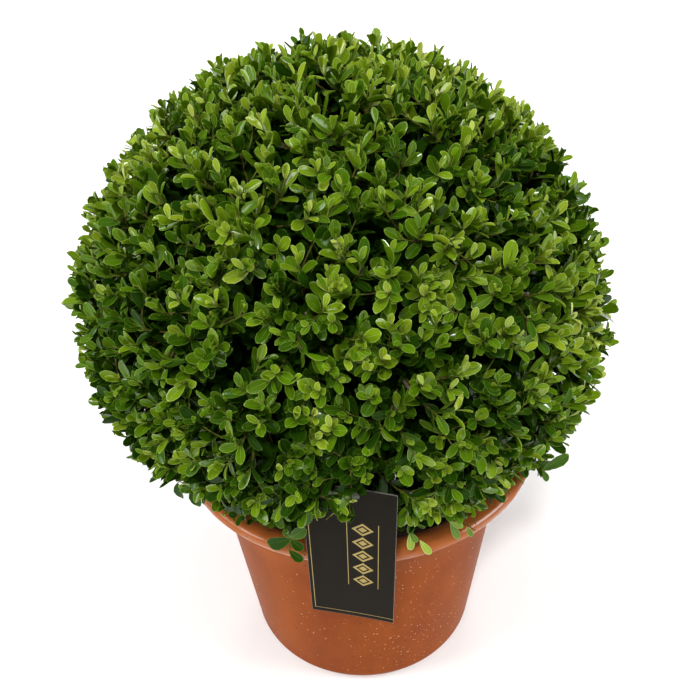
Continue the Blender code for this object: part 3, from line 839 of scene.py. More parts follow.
def droop_over_card(directions, controls, limb_controls):
    """Starts the shoots that the card would cut on the nearest limb point above it, and leads them down."""
    local = to_card(bezier(controls, np.linspace(0, 1, 24)))
    beside = (np.abs(local[..., 0]) < HALF_WIDTH + CARD_BERTH) & (local[..., 2] < HALF_HEIGHT + CARD_BERTH)
    crosses = (beside[:, 1:] & (local[:, 1:, 1] < 0) & (local[:, :-1, 1] >= 0)).any(-1)
    end = controls[crosses, 3]
    over = to_card(end)
    over[:, 1:] = -DROOP_BEFORE, HALF_HEIGHT + DROOP_ABOVE
    over = from_card(over)
    starts = bezier(limb_controls, DROOP_STARTS).reshape(-1, 3)
    local = to_card(starts)
    starts = starts[(local[:, 2] > HALF_HEIGHT + DROOP_START_ABOVE) & (local[:, 1] > -DROOP_START_BEFORE)]
    nearest = np.linalg.norm(over[:, None] - starts[None], axis=-1).argmin(-1)
    down = unit(directions[crosses] - DROOP_FALL * UP)
    length = np.linalg.norm(end - over, axis=-1, keepdims=True)
    drooping = controls.copy()
    drooping[crosses] = np.stack([starts[nearest], over, end - down * length * DROOP_PULL, end], 1)
    return drooping


def grow_side_shoots(directions, controls, chance):
    """Two finer shoots from each main one, aimed at the surface a little to its sides."""
    chosen, starts, leaving = [], [], []
    for _ in range(SIDE_SHOOTS):
        share = chance.uniform(*SIDE_STARTS, (len(directions), 1))
        chosen.append(directions + chance.normal(0, SIDE_TILT, directions.shape))
        starts.append(bezier(controls, share)[:, 0])
        leaving.append(bezier_heading(controls, share)[:, 0])
    aimed, start, leaving = unit(np.concatenate(chosen)), np.concatenate(starts), np.concatenate(leaving)
    end, heading = shoot_ends(aimed, SIDE_DEPTHS, SIDE_SPREAD, chance)
    length = np.linalg.norm(end - start, axis=-1, keepdims=True)
    leaving = unit(leaving + unit(end - start)) * length * SIDE_LEAVING
    return aimed, swing(start, leaving, end, heading * length * SIDE_ARRIVING)


# Sprigs that hang over the lip: turn in degrees, radius and height of the tip, how light a green, leaf scale
HANGING_SPRIGS = (
    (-28, 0.1590, 0.2320, 0.20, 1.05),
    (18, 0.1600, 0.2290, 0.10, 1.15),
    (47, 0.1590, 0.2320, 0.40, 1.00),
    (83, 0.1610, 0.2290, 0.10, 1.15),
    (109, 0.1590, 0.2320, 0.45, 1.00),
    (141, 0.1600, 0.2300, 0.15, 1.10),
    (168, 0.1590, 0.2320, 0.20, 1.10),
)
# Bare twig ends that reach the lip: turn in degrees, radius and height of the end
BARE_ENDS = ((-57, 0.1545, 0.2285), (-42, 0.1530, 0.2300), (75, 0.1540, 0.2290), (152, 0.1535, 0.2295))
# Radius and height of a hanging twig's start and of its rise over the lip; how far in and up its last bend is
HANGING_START, HANGING_RISE, HANGING_BEND = (0.105, 0.246), (0.128, 0.247), (0.006, 0.010)
# Single leaves low over the lip: root, tip, width and how light a green
PLACED_LEAVES = (
    ((-0.0515, -0.1505, 0.2434), (-0.0701, -0.1448, 0.2304), 0.0118, -0.1),
    ((-0.0515, -0.1499, 0.2434), (-0.0406, -0.1547, 0.2572), 0.0100, 0.2),
    ((-0.0515, -0.1499, 0.2434), (-0.0559, -0.1508, 0.2527), 0.0060, 0.2),
    ((-0.0520, -0.1502, 0.2420), (-0.0432, -0.1551, 0.2361), 0.0085, 0.0),
    ((-0.0537, -0.1507, 0.2318), (-0.0440, -0.1557, 0.2245), 0.0080, -0.1),
    ((0.0334, -0.1534, 0.2480), (0.0340, -0.1574, 0.2332), 0.0062, 0.9),
    ((0.0405, -0.1532, 0.2395), (0.0489, -0.1544, 0.2247), 0.0060, 1.0),
    ((0.0334, -0.1534, 0.2487), (0.0385, -0.1560, 0.2400), 0.0050, 0.4),
    ((0.0628, -0.1439, 0.2472), (0.0702, -0.1447, 0.2286), 0.0060, 0.4),
    ((0.0628, -0.1439, 0.2472), (0.0730, -0.1431, 0.2400), 0.0052, 0.6),
    ((0.0760, -0.1380, 0.2350), (0.0807, -0.1390, 0.2250), 0.0046, 0.4),
    ((0.1425, -0.0820, 0.2363), (0.1620, -0.0807, 0.2485), 0.0118, 0.2),
    ((0.1400, -0.0835, 0.2370), (0.1470, -0.0860, 0.2270), 0.0062, 0.3),
    ((-0.1440, -0.0740, 0.2290), (-0.1450, -0.0740, 0.2110), 0.0108, -0.1),
    ((-0.1230, -0.1085, 0.2600), (-0.1245, -0.1100, 0.2370), 0.0118, -0.1),
    ((-0.1060, -0.1240, 0.2640), (-0.1065, -0.1245, 0.2465), 0.0068, 0.0),
)
# The twigs that they stand on: start and end
PLACED_TWIGS = (
    ((-0.0560, -0.1250, 0.2620), (-0.0515, -0.1499, 0.2434)),
    ((-0.0515, -0.1499, 0.2434), (-0.0537, -0.1507, 0.2318)),
    ((0.0300, -0.1300, 0.2680), (0.0334, -0.1534, 0.2487)),
    ((0.0334, -0.1534, 0.2487), (0.0405, -0.1532, 0.2395)),
    ((0.0600, -0.1240, 0.2640), (0.0628, -0.1439, 0.2472)),
    ((0.0620, -0.1290, 0.2440), (0.0829, -0.1375, 0.2300)),
    ((0.1180, -0.0780, 0.2420), (0.1425, -0.0820, 0.2363)),
    ((-0.1200, -0.0700, 0.2420), (-0.1440, -0.0740, 0.2290)),
    ((-0.1060, -0.0940, 0.2660), (-0.1230, -0.1085, 0.2600)),
    ((-0.0930, -0.1100, 0.2700), (-0.1060, -0.1240, 0.2640)),
)
PLACED_FOLD, PLACED_BEND = 0.30, -0.08


def placed_leaves():
    """The leaves with a place of their own, each with its upper face turned outwards, to the front and up."""
    root, tip, width, light = (np.array(values) for values in zip(*PLACED_LEAVES))
    along = unit(tip - root)
    face = square_to(along, unit(root * np.array([1.0, 1.0, 0.0])) + np.array([0.0, -1.0, 0.7]))
    same = np.ones(len(root))
    length = np.linalg.norm(tip - root, axis=-1)
    return Leaves(root, along, face, length, width, PLACED_FOLD * same, PLACED_BEND * same, light, 0 * same)


def hanging_controls(turn, radius, height):
    """Controls of sprigs that hang: out from under the crown, over the lip and down outside it."""
    bend = (radius - HANGING_BEND[0], height + HANGING_BEND[1])
    rings = (HANGING_START, HANGING_RISE, bend, (radius, height))
    return np.stack([around(np.radians(turn), *ring) for ring in rings], 1)


def label_twig():
    """Direction and controls of the label's twig: out of the crown, through the card's hole and beyond."""
    crossing = from_card(np.array([0.0, 0.0, HALF_HEIGHT - CARD_HOLE_DROP + LABEL_TWIG_OFFSET]))
    heading = crossing - CROWN_CENTRE
    heading[2] = np.linalg.norm(heading[:2]) * math.tan(LABEL_TWIG_RISING)
    heading = unit(heading)
    places = np.linspace(-LABEL_TWIG_ROOT, LABEL_TWIG_REACH, 4)
    return heading[None], (crossing + heading * places[:, None])[None]


# Leaves


class Leaves(namedtuple("Leaves", "root along face length width fold bend light depth")):
    """Leaves as arrays, a row for each: root, axes, sizes, lightness of green with its painted light and
    shade, and distance down its shoot.
    """

    def pick(self, chosen):
        """The chosen rows of every array."""
        return Leaves(*(values[chosen] for values in self))

    @staticmethod
    def together(groups):
        """Several groups of leaves as one."""
        return Leaves(*map(np.concatenate, zip(*groups)))


LEAF_PEAK = 0.6142
MARGIN = 0.00040
RIB_HALF, RIB_TAPER, RIB_LIFT = 0.00020, 0.8, 0.00005
BLADE_ROWS = (0.12, 0.36, 0.64, 0.85, 0.940)
MARGIN_ROWS = (0.11, 0.36, 0.65, 0.87, 0.970)
RIB_ROWS = (0.0, 0.45, 0.88)
PLAIN_ROWS = (0.18, 0.52, 0.85, 0.98)


def half_width(leaves, share):
    """Half of each leaf's width at shares t of its length: width / 2 * (t * (1 - t^3))^0.65 / its peak."""
    return leaves.width[:, None] / 2 * (share * (1 - share**3)) ** 0.65 / LEAF_PEAK


def on_leaf(leaves, share, offset, lift=0.0):
    """Points of each leaf at shares t of its length, and at offsets to the left of its midrib.

    A point rises to the side by offset * sin(fold), along the leaf by length * bend * t^2, and by the lift.
    """
    side = np.cross(leaves.face, leaves.along)[:, None]
    fold = leaves.fold[:, None]
    out = leaves.length[:, None] * share
    rise = np.abs(offset) * np.sin(fold) + out * leaves.bend[:, None] * share + lift
    across = (offset * np.cos(fold))[..., None] * side
    along = leaves.along[:, None] * out[..., None]
    return leaves.root[:, None] + along + across + leaves.face[:, None] * rise[..., None]


def leaf_blades(name, leaves, rows=BLADE_ROWS, inset=MARGIN):
    """The blades: rows of right edge, midrib and left edge points, fanned from the root, upper side out."""
    share = np.concatenate([[0.0], np.repeat(rows, 3)])
    edge = np.concatenate([[0.0], np.tile([-1.0, 0.0, 1.0], len(rows))])
    corners = on_leaf(leaves, share, edge * np.maximum(half_width(leaves, share) - inset, 0.0))
    quads = grid_faces(len(rows), 3, closed=False)[:, ::-1] + 1
    fans = fan_faces(0, 1, 3, closed=False)
    return mesh_object(name, corners, [copies(faces, len(corners), len(share)) for faces in (quads, fans)])


def leaf_edges(name, leaves):
    """Each leaf's pale lines: a band round its margin, from the blade's edge out, which is a painted
    highlight on the rolled margin, and a strip up its midrib.

    Both loops of the band go from the root up the right edge, over the tip and down the left edge.
    """
    ones = np.ones(len(BLADE_ROWS))
    edge = np.concatenate([[0.0], -ones, [0.0], ones])
    inner_share = np.concatenate([[0.0], BLADE_ROWS, BLADE_ROWS[-1:], BLADE_ROWS[::-1]])
    outer_share = np.concatenate([[0.0], MARGIN_ROWS, [1.0], MARGIN_ROWS[::-1]])
    inner = on_leaf(leaves, inner_share, edge * np.maximum(half_width(leaves, inner_share) - MARGIN, 0.0))
    outer = on_leaf(leaves, outer_share, edge * half_width(leaves, outer_share))
    outer[:, 0] -= leaves.along * MARGIN
    rib_share = np.repeat(RIB_ROWS, 2)
    rib_side = np.tile([-RIB_HALF, RIB_HALF], len(RIB_ROWS)) * (1 - RIB_TAPER * rib_share)
    rib = on_leaf(leaves, rib_share, np.tile(rib_side, (len(outer), 1)), RIB_LIFT)
    corners = np.concatenate([inner, outer, rib], axis=1)
    strip = grid_faces(len(RIB_ROWS), 2, closed=False) + 2 * len(edge)
    faces = np.concatenate([grid_faces(2, len(edge)), strip])[:, ::-1]
    return mesh_object(name, corners, [copies(faces, *corners.shape[:2])])


LEAF_ANGLE = math.radians(137.5)
ANGLE_SPREAD = 0.25
NODE_SPACING = 0.0034
NODE_SPREAD = (0.85, 1.2)
TIP_GAP = 0.0003
LEAST_ROOT_SHARE = 0.12
# Leaves mature over this distance from the tip, and their pitch off the twig grows from the tip's, in degrees
MATURE = 0.020
TIP_PITCH, PITCH_GROWS, PITCH_SPREAD = 15, 40, 0.15
FACE_RISE, FACE_SPREAD = 0.18, 0.16
LEAF_LENGTH = 0.0150
LONGEST_LEAF = 0.0190
# The tip leaf's share of a full leaf's length, and how far from the tip a leaf is full length
TIP_SIZE, FULL_SIZE_DOWN, SIZE_SPREAD = 0.56, 0.009, 0.12
SLENDERNESS, SLENDERNESS_SPREAD, SLENDERNESS_RANGE = 0.52, 0.050, (0.38, 0.64)
# Degrees that each half of the blade folds up, with its spread and range, and what a young leaf adds
FOLD, FOLD_SPREAD, FOLD_RANGE, YOUNG_FOLD = 17, 9, (-2, 40), 10
BEND, BEND_SPREAD = -0.02, 0.09
YOUNG_LIGHT, LIGHT_SPREAD = 0.42, 0.10


def leaves_on(directions, controls, nodes, freshness_and_painted_light, chance, scale=1.0, facing=0.42):
    """Leaves in a spiral along each shoot, from its tip down.

    Node by node the turn grows by the golden angle. Further down, leaves are longer and stand off more.
    Each turns its upper face to its twig's tip, and by the share facing outwards.
    """
    shape = (len(controls), nodes)
    length = np.linalg.norm(np.diff(bezier(controls, np.linspace(0, 1, 9)), axis=1), axis=-1).sum(-1)
    step = np.arange(nodes) + chance.uniform(0.0, 0.5, shape)
    down = TIP_GAP + NODE_SPACING * step * chance.uniform(*NODE_SPREAD, (len(controls), 1))
    share = 1 - down / length[:, None]
    rooted = share > LEAST_ROOT_SHARE
    share = np.clip(share, 0.02, 1.0)
    axis = bezier_heading(controls, share)
    first = unit(np.cross(axis, np.array([0.31, 0.52, 0.79])))
    second = np.cross(axis, first)
    turn = LEAF_ANGLE * np.arange(nodes) + chance.uniform(0, 2 * np.pi, (len(controls), 1))
    turn = (turn + chance.normal(0, ANGLE_SPREAD, shape))[..., None]
    out = first * np.cos(turn) + second * np.sin(turn)
    maturity = np.clip(down / MATURE, 0, 1)
    pitch = np.radians(TIP_PITCH + PITCH_GROWS * maturity**0.7) + chance.normal(0, PITCH_SPREAD, shape)
    sine, cosine = np.sin(pitch)[..., None], np.cos(pitch)[..., None]
    along = unit(axis * cosine + out * sine)
    face = axis * sine - out * cosine + facing * directions[:, None] + FACE_RISE * UP
    face = square_to(along, face + chance.normal(0, FACE_SPREAD, face.shape))
    size = TIP_SIZE + (1 - TIP_SIZE) * np.clip(down / FULL_SIZE_DOWN, 0, 1)
    size = LEAF_LENGTH * scale * size * chance.normal(1.0, SIZE_SPREAD, shape)
    size = np.minimum(size, LONGEST_LEAF * scale)
    width = size * np.clip(chance.normal(SLENDERNESS, SLENDERNESS_SPREAD, shape), *SLENDERNESS_RANGE)
    fold = np.clip(chance.normal(FOLD, FOLD_SPREAD, shape), *FOLD_RANGE) + YOUNG_FOLD * (1 - maturity)
    bend = chance.normal(BEND, BEND_SPREAD, shape)
    light = freshness_and_painted_light[:, None] + YOUNG_LIGHT * (1 - maturity) ** 1.5 + chance.normal(0, LIGHT_SPREAD, shape)
    values = (bezier(controls, share), along, face, size, width, np.radians(fold), bend, light, down)
    return Leaves(*(value[rooted] for value in values))


def clear_leaves(leaves, allowance):
    """The leaves whose root, edges and tip keep off card and pot, and within the allowance of the surface."""
    share = np.array([0.0, 0.35, 0.35, 0.65, 0.65, 0.985])
    points = on_leaf(leaves, share, np.array([0.0, -1.0, 1.0, -1.0, 1.0, 0.0]) * half_width(leaves, share))
    stands_out = (proud(points) + drawn_in(points)).max(-1)
    return leaves.pick(~(on_card(points) | in_pot(points)).any(-1) & (stands_out < allowance))


def clear_shoots(directions, controls):
    """The shoots that touch neither the card nor the pot and hardly stand out of the crown."""
    points = bezier(controls, np.linspace(0, 1, 20))
    kept = ~(on_card(points) | in_pot(points)).any(-1) & (proud(points).max(-1) < SHOOT_ALLOWANCE)
    return directions[kept], controls[kept]


# Crown: foliage and twigs

# Tints: name, the light from which a leaf takes it, blade colour, colour of its margin, which is a painted
# highlight, and of its midrib, and gloss
TINTS = (
    ("shade", -9.0, (0.015, 0.050, 0.0016), (0.068, 0.130, 0.0150), 0.05),
    ("deep", 0.10, (0.039, 0.104, 0.0019), (0.138, 0.240, 0.0300), 0.13),
    ("mid", 0.32, (0.082, 0.175, 0.0028), (0.210, 0.325, 0.0420), 0.25),
    ("bright", 0.56, (0.158, 0.268, 0.0055), (0.320, 0.445, 0.0800), 0.33),
    ("fresh", 0.80, (0.270, 0.380, 0.0140), (0.460, 0.560, 0.1500), 0.37),
    ("lime", 1.08, (0.430, 0.515, 0.0600), (0.580, 0.650, 0.2500), 0.37),
)
# Older and inside leaves: dark greens, partly their own and partly painted shade, with their gloss
OLD_AND_SHADED_TINT, INSIDE_TINT = ((0.019, 0.060, 0.0018), 0.10), ((0.017, 0.054, 0.0025), 0.09)
OLD_LEAF_DEPTH = 0.026
LEAF_ROUGHNESS = 0.15


def dress_leaves(made, name, colour, gloss):
    """Gives a piece of foliage its plain glossy green."""
    finish = Finish(name, colour, LEAF_ROUGHNESS, Specular_IOR_Level=gloss)
    dress(made, finish.material, "foliage", "crown")


def build_leaves(leaves, inner):
    """Blades and pale edges, a painted highlight, for each tint; older leaves further down the shoots and the
    darkest inside, partly painted shade.
    """
    old_shaded = leaves.pick(leaves.depth > OLD_LEAF_DEPTH)
    young = leaves.pick(leaves.depth <= OLD_LEAF_DEPTH)
    tint_of = np.searchsorted([tint[1] for tint in TINTS], young.light, side="right") - 1
    for index, (name, _, colour, edge_highlight_and_rib_colour, gloss) in enumerate(TINTS):
        chosen = young.pick(tint_of == index)
        dress_leaves(leaf_blades(f"leaves_{name}_1", chosen), f"leaf_{name}", colour, gloss)
        # Painted highlight: the edge pieces' pale colour stands for the light caught by each leaf's rolled
        # margin; it also colours the midrib.
        dress_leaves(leaf_edges(f"edges_{name}_1", chosen), f"edge_{name}", edge_highlight_and_rib_colour, gloss)
    for name, chosen, colour, gloss in (("old_shaded", old_shaded, *OLD_AND_SHADED_TINT), ("inside", inner, *INSIDE_TINT)):
        dress_leaves(leaf_blades(f"leaves_{name}_1", chosen, PLAIN_ROWS, 0.0), f"leaf_{name}", colour, gloss)


def shoot_tubes(name, controls, stations, sides, radii, finish, first=0.0, last=1.0):
    """Tapering twigs along the shoots between two shares of their length."""
    taper = np.linspace(*radii, stations)[None, :, None]
    paths = bezier(controls, np.linspace(first, last, stations))
    dress(tubes(name, paths, taper, sides), finish, "bark", "crown")


# Inside: shoots of dark leaves in layers, dark partly by painted shade: count, how deep the tips lie, leaves
# on each and their scale
INNER_LAYERS = ((1400, (0.030, 0.048), 5, 1.20), (1300, (0.060, 0.085), 4, 1.70))
INNER_SHOOT = 0.020
INNER_SCATTER = 0.03
INNER_FACING = 0.9


def grow_inner_leaves(chance):
    """Leaves on short straight shoots deep in the crown, layer by layer."""
    made = []
    for count, depths, nodes, scale in INNER_LAYERS:
        ways = crown_directions(count, LOWEST_SHOOT, INNER_SCATTER, chance)
        end = on_surface(ways, chance.uniform(*depths, len(ways)))
        controls = straight(end - ways * INNER_SHOOT, end)
        made.append(leaves_on(ways, controls, nodes, np.zeros(len(ways)), chance, scale, INNER_FACING))
    return clear_leaves(Leaves.together(made), 0.0)


FRESHNESS = 0.26
# Painted light: how much lighter the green is towards the top
TOP_PAINTED_LIGHT = 0.11
# Patches of lighter and darker shoots: their strength, size and seed
PATCHES = ((0.08, 0.9, 31), (0.09, 0.25, 32))
FRESHNESS_SPREAD = 0.16
# Low on the ball: a wider spread of greens, and a painted shade that darkens them
LOW_SPREAD, LOW_PAINTED_SHADE = 0.15, 0.07
LOW_FROM, LOW_FADE = 0.10, 0.5
# Painted shade: a leaf is painted a darker green the deeper its root is under the shoot's tip: where this
# starts, how far it goes on, and the light lost for each metre. Low on the ball a second painted shade comes
# sooner and stronger.
DEPTH_SHADE = (0.016, 0.050, 16.0)
LOW_SHADE = (0.005, 0.011, 30.0)
LOW_SHADE_TOP, LOW_SHADE_FADE = 0.440, 0.12


def freshness_and_painted_light(ways, chance):
    """How light each shoot's green is: broad patches, smaller ones, painted light that makes it lighter
    towards the top, and chance.

    Low down the greens vary more and are painted a little darker, as shade.
    """
    patches = sum(strength * ripple(ways, size, seed) for strength, size, seed in PATCHES)
    low = np.clip((LOW_FROM - ways[:, 2]) / LOW_FADE, 0, 1)
    spread = (FRESHNESS_SPREAD + LOW_SPREAD * low) * chance.normal(0, 1, len(ways))
    return FRESHNESS + patches + TOP_PAINTED_LIGHT * ways[:, 2] - LOW_PAINTED_SHADE * low + spread


def shade(leaves, start, span, loss):
    """The light that leaves lose by their depth."""
    return loss * np.clip(leaves.depth - start, 0, span)


# The share of a main shoot and of a side shoot from which its bark is green
GREEN_FROM, SIDE_GREEN_FROM = 0.70, 0.45
# On main shoots, side shoots and the label's twig: leaves on each, their scale, how far they may stand out
FOLIAGE = ((12, 1.0, 0.0060), (8, 0.96, 0.0045), (10, 1.0, 0.0060))
HANGING_NODES, HANGING_RISING, HANGING_FACING, HANGING_ALLOWANCE = 8, 0.05, 1.3, 0.060


def build_crown(bark):
    """Limbs, main and side shoots, the label's twig, hanging sprigs and all their leaves."""
    chance = np.random.default_rng(SHOOT_SEED)
    limb_directions, limbs = grow_limbs()
    main = clear_shoots(*grow_shoots(limb_directions, limbs, chance))
    side = clear_shoots(*grow_side_shoots(*main, chance))
    label = label_twig()
    outer = []
    for (ways, shoots), (nodes, scale, allowance) in zip((main, side, label), FOLIAGE):
        grown = leaves_on(ways, shoots, nodes, freshness_and_painted_light(ways, chance), chance, scale)
        outer.append(clear_leaves(grown, allowance))
    sprigs = np.array(HANGING_SPRIGS)
    hanging = hanging_controls(*sprigs.T[:3])
    ways = unit(hanging[:, 3] * np.array([1.0, 1.0, 0.0]) + HANGING_RISING * UP)
    grown = leaves_on(ways, hanging, HANGING_NODES, sprigs[:, 3], chance, sprigs[:, 4:], HANGING_FACING)
    outer = Leaves.together([*outer, clear_leaves(grown, HANGING_ALLOWANCE), placed_leaves()])
    low = np.clip((LOW_SHADE_TOP - outer.root[:, 2]) / LOW_SHADE_FADE, 0, 1)
    # Painted shade: leaves lose light, and so take darker tints, the deeper they sit and the lower on the
    # ball they are.
    outer.light[:] -= shade(outer, *DEPTH_SHADE) + low * shade(outer, *LOW_SHADE)
    build_leaves(outer, grow_inner_leaves(chance))

    brown = Finish("twig_brown", (0.105, 0.090, 0.016), 0.70, Specular_IOR_Level=0.20).material
    green = Finish("twig_green", (0.200, 0.215, 0.028), 0.60, Specular_IOR_Level=0.20).material
    shoot_tubes("limbs", limbs, LIMB_STATIONS, 8, (0.0019, 0.0010), bark)
    shoot_tubes("shoots_brown", main[1], 7, 5, (0.00095, 0.00058), brown, 0.0, GREEN_FROM)
    shoot_tubes("shoots_green", main[1], 4, 5, (0.00058, 0.00036), green, GREEN_FROM)
    shoot_tubes("side_shoots_brown", side[1], 4, 4, (0.00062, 0.00048), brown, 0.0, SIDE_GREEN_FROM)
    shoot_tubes("side_shoots_green", side[1], 4, 4, (0.00048, 0.00030), green, SIDE_GREEN_FROM)
    twigs = (np.array(ends) for ends in zip(*PLACED_TWIGS))
    loose = [hanging, hanging_controls(*np.array(BARE_ENDS).T), label[1], straight(*twigs)]
    shoot_tubes("hanging_sprigs", np.concatenate(loose), 12, 6, (0.00080, 0.00050), brown)


# Label

RULE_WIDTH = 0.00052
RULE_STATIONS = 24
SIDE_RULE_INSET = 0.0028
FOOT_RULE_INSET = 0.0055
CARD_BOW = 0.0006
CARD_RINGS = 12
EDGE_BAND = 0.00022
PANEL_CENTRE = (0.0088, 0.0046)
PANEL_HALF_WIDTH = 0.0112
PANEL_HALF_HEIGHT = 0.0430
LOZENGE_COUNT = 5
LOZENGE = 0.0078 * np.array([(0, -1), (1, 0), (0, 1), (-1, 0)])
# A lozenge's two rings of foil: the outer and the inner size of each, as shares of its own
LOZENGE_RINGS = ((1.0, 0.68), (0.42, 0.02))
# Foil lies as far out of the card's face as its back sinks into it
FOIL = 0.00005
FOIL_FRONT, FOIL_BACK = HALF_THICKNESS + FOIL, HALF_THICKNESS - FOIL


def card_point(places, lift):
    """World points on the card: places along it and up it, lifted off its middle plane towards the front.

    The card's sides bow forwards by CARD_BOW * (place along it / half width)^2.
    """
    bow = CARD_BOW * (places[..., 0] / HALF_WIDTH) ** 2
    return from_card(np.stack([places[..., 0], -(lift + bow), places[..., 1]], -1))


def outline(corners, steps=16):
    """A closed row of points on straight sides between the corners, anticlockwise, as many on each side."""
    corners = np.array(corners)[:, None]
    share = np.linspace(0, 1, steps, endpoint=False)[None, :, None]
    return (corners * (1 - share) + np.roll(corners, -1, axis=0) * share).reshape(-1, 2)


def rectangle(x, z):
    """The outline of an upright rectangle, from half its size."""
    return outline([(-x, -z), (x, -z), (x, z), (-x, z)])


def build_card():
    """The black card: a holed sheet in front and behind, joined round its outline and round the hole.

    Each sheet ends in a narrow band, which is pale as the cut edge is.
    """
    hole = np.array([0.0, HALF_HEIGHT - CARD_HOLE_DROP])
    inside = rectangle(HALF_WIDTH - EDGE_BAND, HALF_HEIGHT - EDGE_BAND)
    sheet = holed_sheet(inside, hole, CARD_HOLE_RADIUS, CARD_RINGS)
    sheet = np.concatenate([sheet, rectangle(HALF_WIDTH, HALF_HEIGHT)[None]])
    front, back = card_point(sheet, HALF_THICKNESS), card_point(sheet, -HALF_THICKNESS)[::-1]
    rows = np.concatenate([front, back, front[:1]])
    card = mesh_object("label_card", rows, [grid_faces(*rows.shape[:2])[:, ::-1]], smooth=False)
    dress(card, card_finish(), "card", "label")
    card.data.materials.append(Finish("card_edge", (0.19, 0.17, 0.15), 0.70).material)
    ring = np.arange(len(rows) - 1)
    pale = (np.abs(ring - len(front) + 1) < 2) | (ring == len(rows) - 2)
    card.data.polygons.foreach_set("material_index", np.repeat(pale.astype(np.int32), rows.shape[1]))
    weld(card)


def foil_ring(outer, inner):
    """A closed flat ring of foil on the card between two outlines: its four long edges, joined all round."""
    edges = ((inner, FOIL_BACK), (inner, FOIL_FRONT), (outer, FOIL_FRONT), (outer, FOIL_BACK))
    rows = np.stack([card_point(line, lift) for line, lift in (*edges, edges[0])])
    return rows.reshape(-1, 3), grid_faces(len(rows), len(outer))[:, ::-1]


def foil_bar(start, end):
    """A straight rule of foil between two places: rings of four corners along it, and a quad at each end."""
    start, end = np.array(start), np.array(end)
    along = (end - start) / np.linalg.norm(end - start)
    across = np.array([-along[1], along[0]]) * RULE_WIDTH / 2
    middle = start + (end - start) * np.linspace(0, 1, RULE_STATIONS)[:, None]
    corners = ((across, FOIL_BACK), (across, FOIL_FRONT), (-across, FOIL_FRONT), (-across, FOIL_BACK))
    rings = np.stack([card_point(middle + aside, lift) for aside, lift in corners], 1)
    last = 4 * (RULE_STATIONS - 1)
    ends = np.array([[0, 1, 2, 3], [last + 3, last + 2, last + 1, last]])
    return rings.reshape(-1, 3), np.concatenate([grid_faces(RULE_STATIONS, 4)[:, ::-1], ends])


def build_rules():
    """Plain gold: rules up the card's left side and along its foot, and a panel of lozenges between two."""
    left, foot = -HALF_WIDTH + SIDE_RULE_INSET, -HALF_HEIGHT + FOOT_RULE_INSET
    right, top = HALF_WIDTH - EDGE_BAND, HALF_HEIGHT - SIDE_RULE_INSET
    half = RULE_WIDTH / 2
    pieces = [foil_bar((left, foot - half), (left, top)), foil_bar((left + half, foot), (right, foot))]
    middle, level = PANEL_CENTRE
    for across in (middle - PANEL_HALF_WIDTH, middle + PANEL_HALF_WIDTH):
        pieces.append(foil_bar((across, level - PANEL_HALF_HEIGHT), (across, level + PANEL_HALF_HEIGHT)))
    for index in range(LOZENGE_COUNT):
        height = level + PANEL_HALF_HEIGHT * (2 * (index + 0.5) / LOZENGE_COUNT - 1)
        for sizes in LOZENGE_RINGS:
            pieces.append(foil_ring(*(outline(LOZENGE * size + (middle, height), 6) for size in sizes)))
    corners, faces = zip(*pieces)
    starts = np.cumsum([0] + [len(each) for each in corners])
    faces = [each + start for each, start in zip(faces, starts)]
    rules = weld(mesh_object("label_rules", np.concatenate(corners), faces, smooth=False))
    dress(rules, Finish("gold_foil", (0.39, 0.285, 0.065), 0.45, Metallic=0.25).material, "card")


# Floor, lights and camera


FLOOR_RADII = (0.0, 0.5, 8.0)
FLOOR_DROP = 0.0002
FLOOR_STEPS = 64


def build_floor():
    """A wide pale floor, just under the pot."""
    points = turned(np.array([[radius, -FLOOR_DROP] for radius in FLOOR_RADII]), FLOOR_STEPS)
    floor = weld(mesh_object("floor", points, [grid_faces(*points.shape[:2])[:, ::-1]]))
    finish = Finish("pale_floor", (0.96, 0.96, 0.96), 0.85, Specular_IOR_Level=0.1)
    floor.data.materials.append(finish.material)


# Suns: name, bearing, elevation and spread in degrees, and strength
SUNS = (
    ("key", -10, 54, 6, 1.30),
    ("overhead", 0, 76, 50, 0.70),
    ("left", -80, 32, 30, 1.85),
    ("right", 80, 32, 30, 1.75),
)
WHITE_STRENGTH = 0.24
BEHIND_PLACE, BEHIND_SIZE, BEHIND_POWER = (0.3, 1.9, 1.3), 0.9, 10


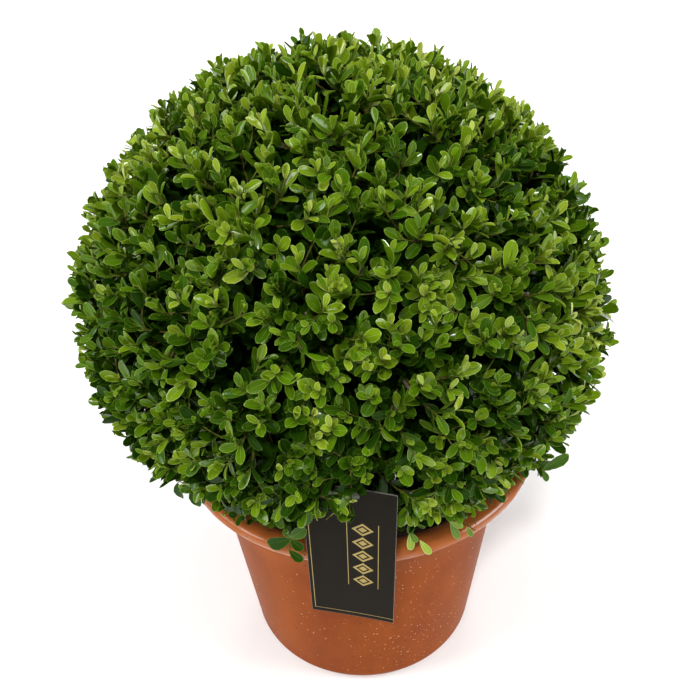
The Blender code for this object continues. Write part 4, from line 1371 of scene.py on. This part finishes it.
def soft_sun(name, bearing, elevation, spread, strength):
    """Even light from a wide disc, its angles in degrees; a bearing of 0 is in front and 90 at the right."""
    light = bpy.data.lights.new(name, "SUN")
    light.angle = math.radians(spread)
    light.energy = strength
    turn, height = math.radians(bearing), math.radians(elevation)
    level = math.cos(height)
    towards = Vector((math.sin(turn) * level, -math.cos(turn) * level, math.sin(height)))
    add_object(name, light).rotation_euler = towards.to_track_quat("Z", "Y").to_euler()


def build_lights():
    """White surroundings, a narrow key light that makes the leaves glint, and softer light from all round.

    The wide suns stand overhead and on both sides of the camera, and a square light behind faces the crown.
    """
    world = bpy.data.worlds.new("studio")
    bpy.context.scene.world = world
    world.use_nodes = True
    background = world.node_tree.nodes["Background"]
    background.inputs["Color"].default_value = (1.0, 1.0, 1.0, 1.0)
    background.inputs["Strength"].default_value = WHITE_STRENGTH
    for sun in SUNS:
        soft_sun(*sun)
    light = bpy.data.lights.new("behind", "AREA")
    light.shape = "SQUARE"
    light.size = BEHIND_SIZE
    light.energy = BEHIND_POWER
    behind = add_object("behind", light)
    behind.location = BEHIND_PLACE
    behind.rotation_euler = (Vector(CROWN_CENTRE) - behind.location).to_track_quat("-Z", "Y").to_euler()


def build_camera():
    """In front and above, turned a little about its own axis."""
    back = Vector((0.0, -math.cos(CAMERA_ELEVATION), math.sin(CAMERA_ELEVATION)))
    right = Vector((1.0, 0.0, 0.0))
    level = Matrix((right, right.cross(-back), back)).transposed().to_4x4()
    lens = bpy.data.cameras.new("camera")
    lens.lens = CAMERA_LENS
    lens.sensor_width = SENSOR_WIDTH
    lens.clip_start, lens.clip_end = 0.01, 50.0
    camera = add_object("camera", lens)
    place = Matrix.Translation(CAMERA_TARGET + back * CAMERA_DISTANCE)
    camera.matrix_world = place @ level @ Matrix.Rotation(CAMERA_ROLL, 4, "Z")
    bpy.context.scene.camera = camera


build_camera()
build_floor()
build_lights()
bark_material = bark_finish()
build_pot()
build_drops()
build_compost()
build_trunk(bark_material)
build_boughs(bark_material)
build_crown(bark_material)
build_card()
build_rules()
bpy.context.scene.view_settings.view_transform = "Standard"
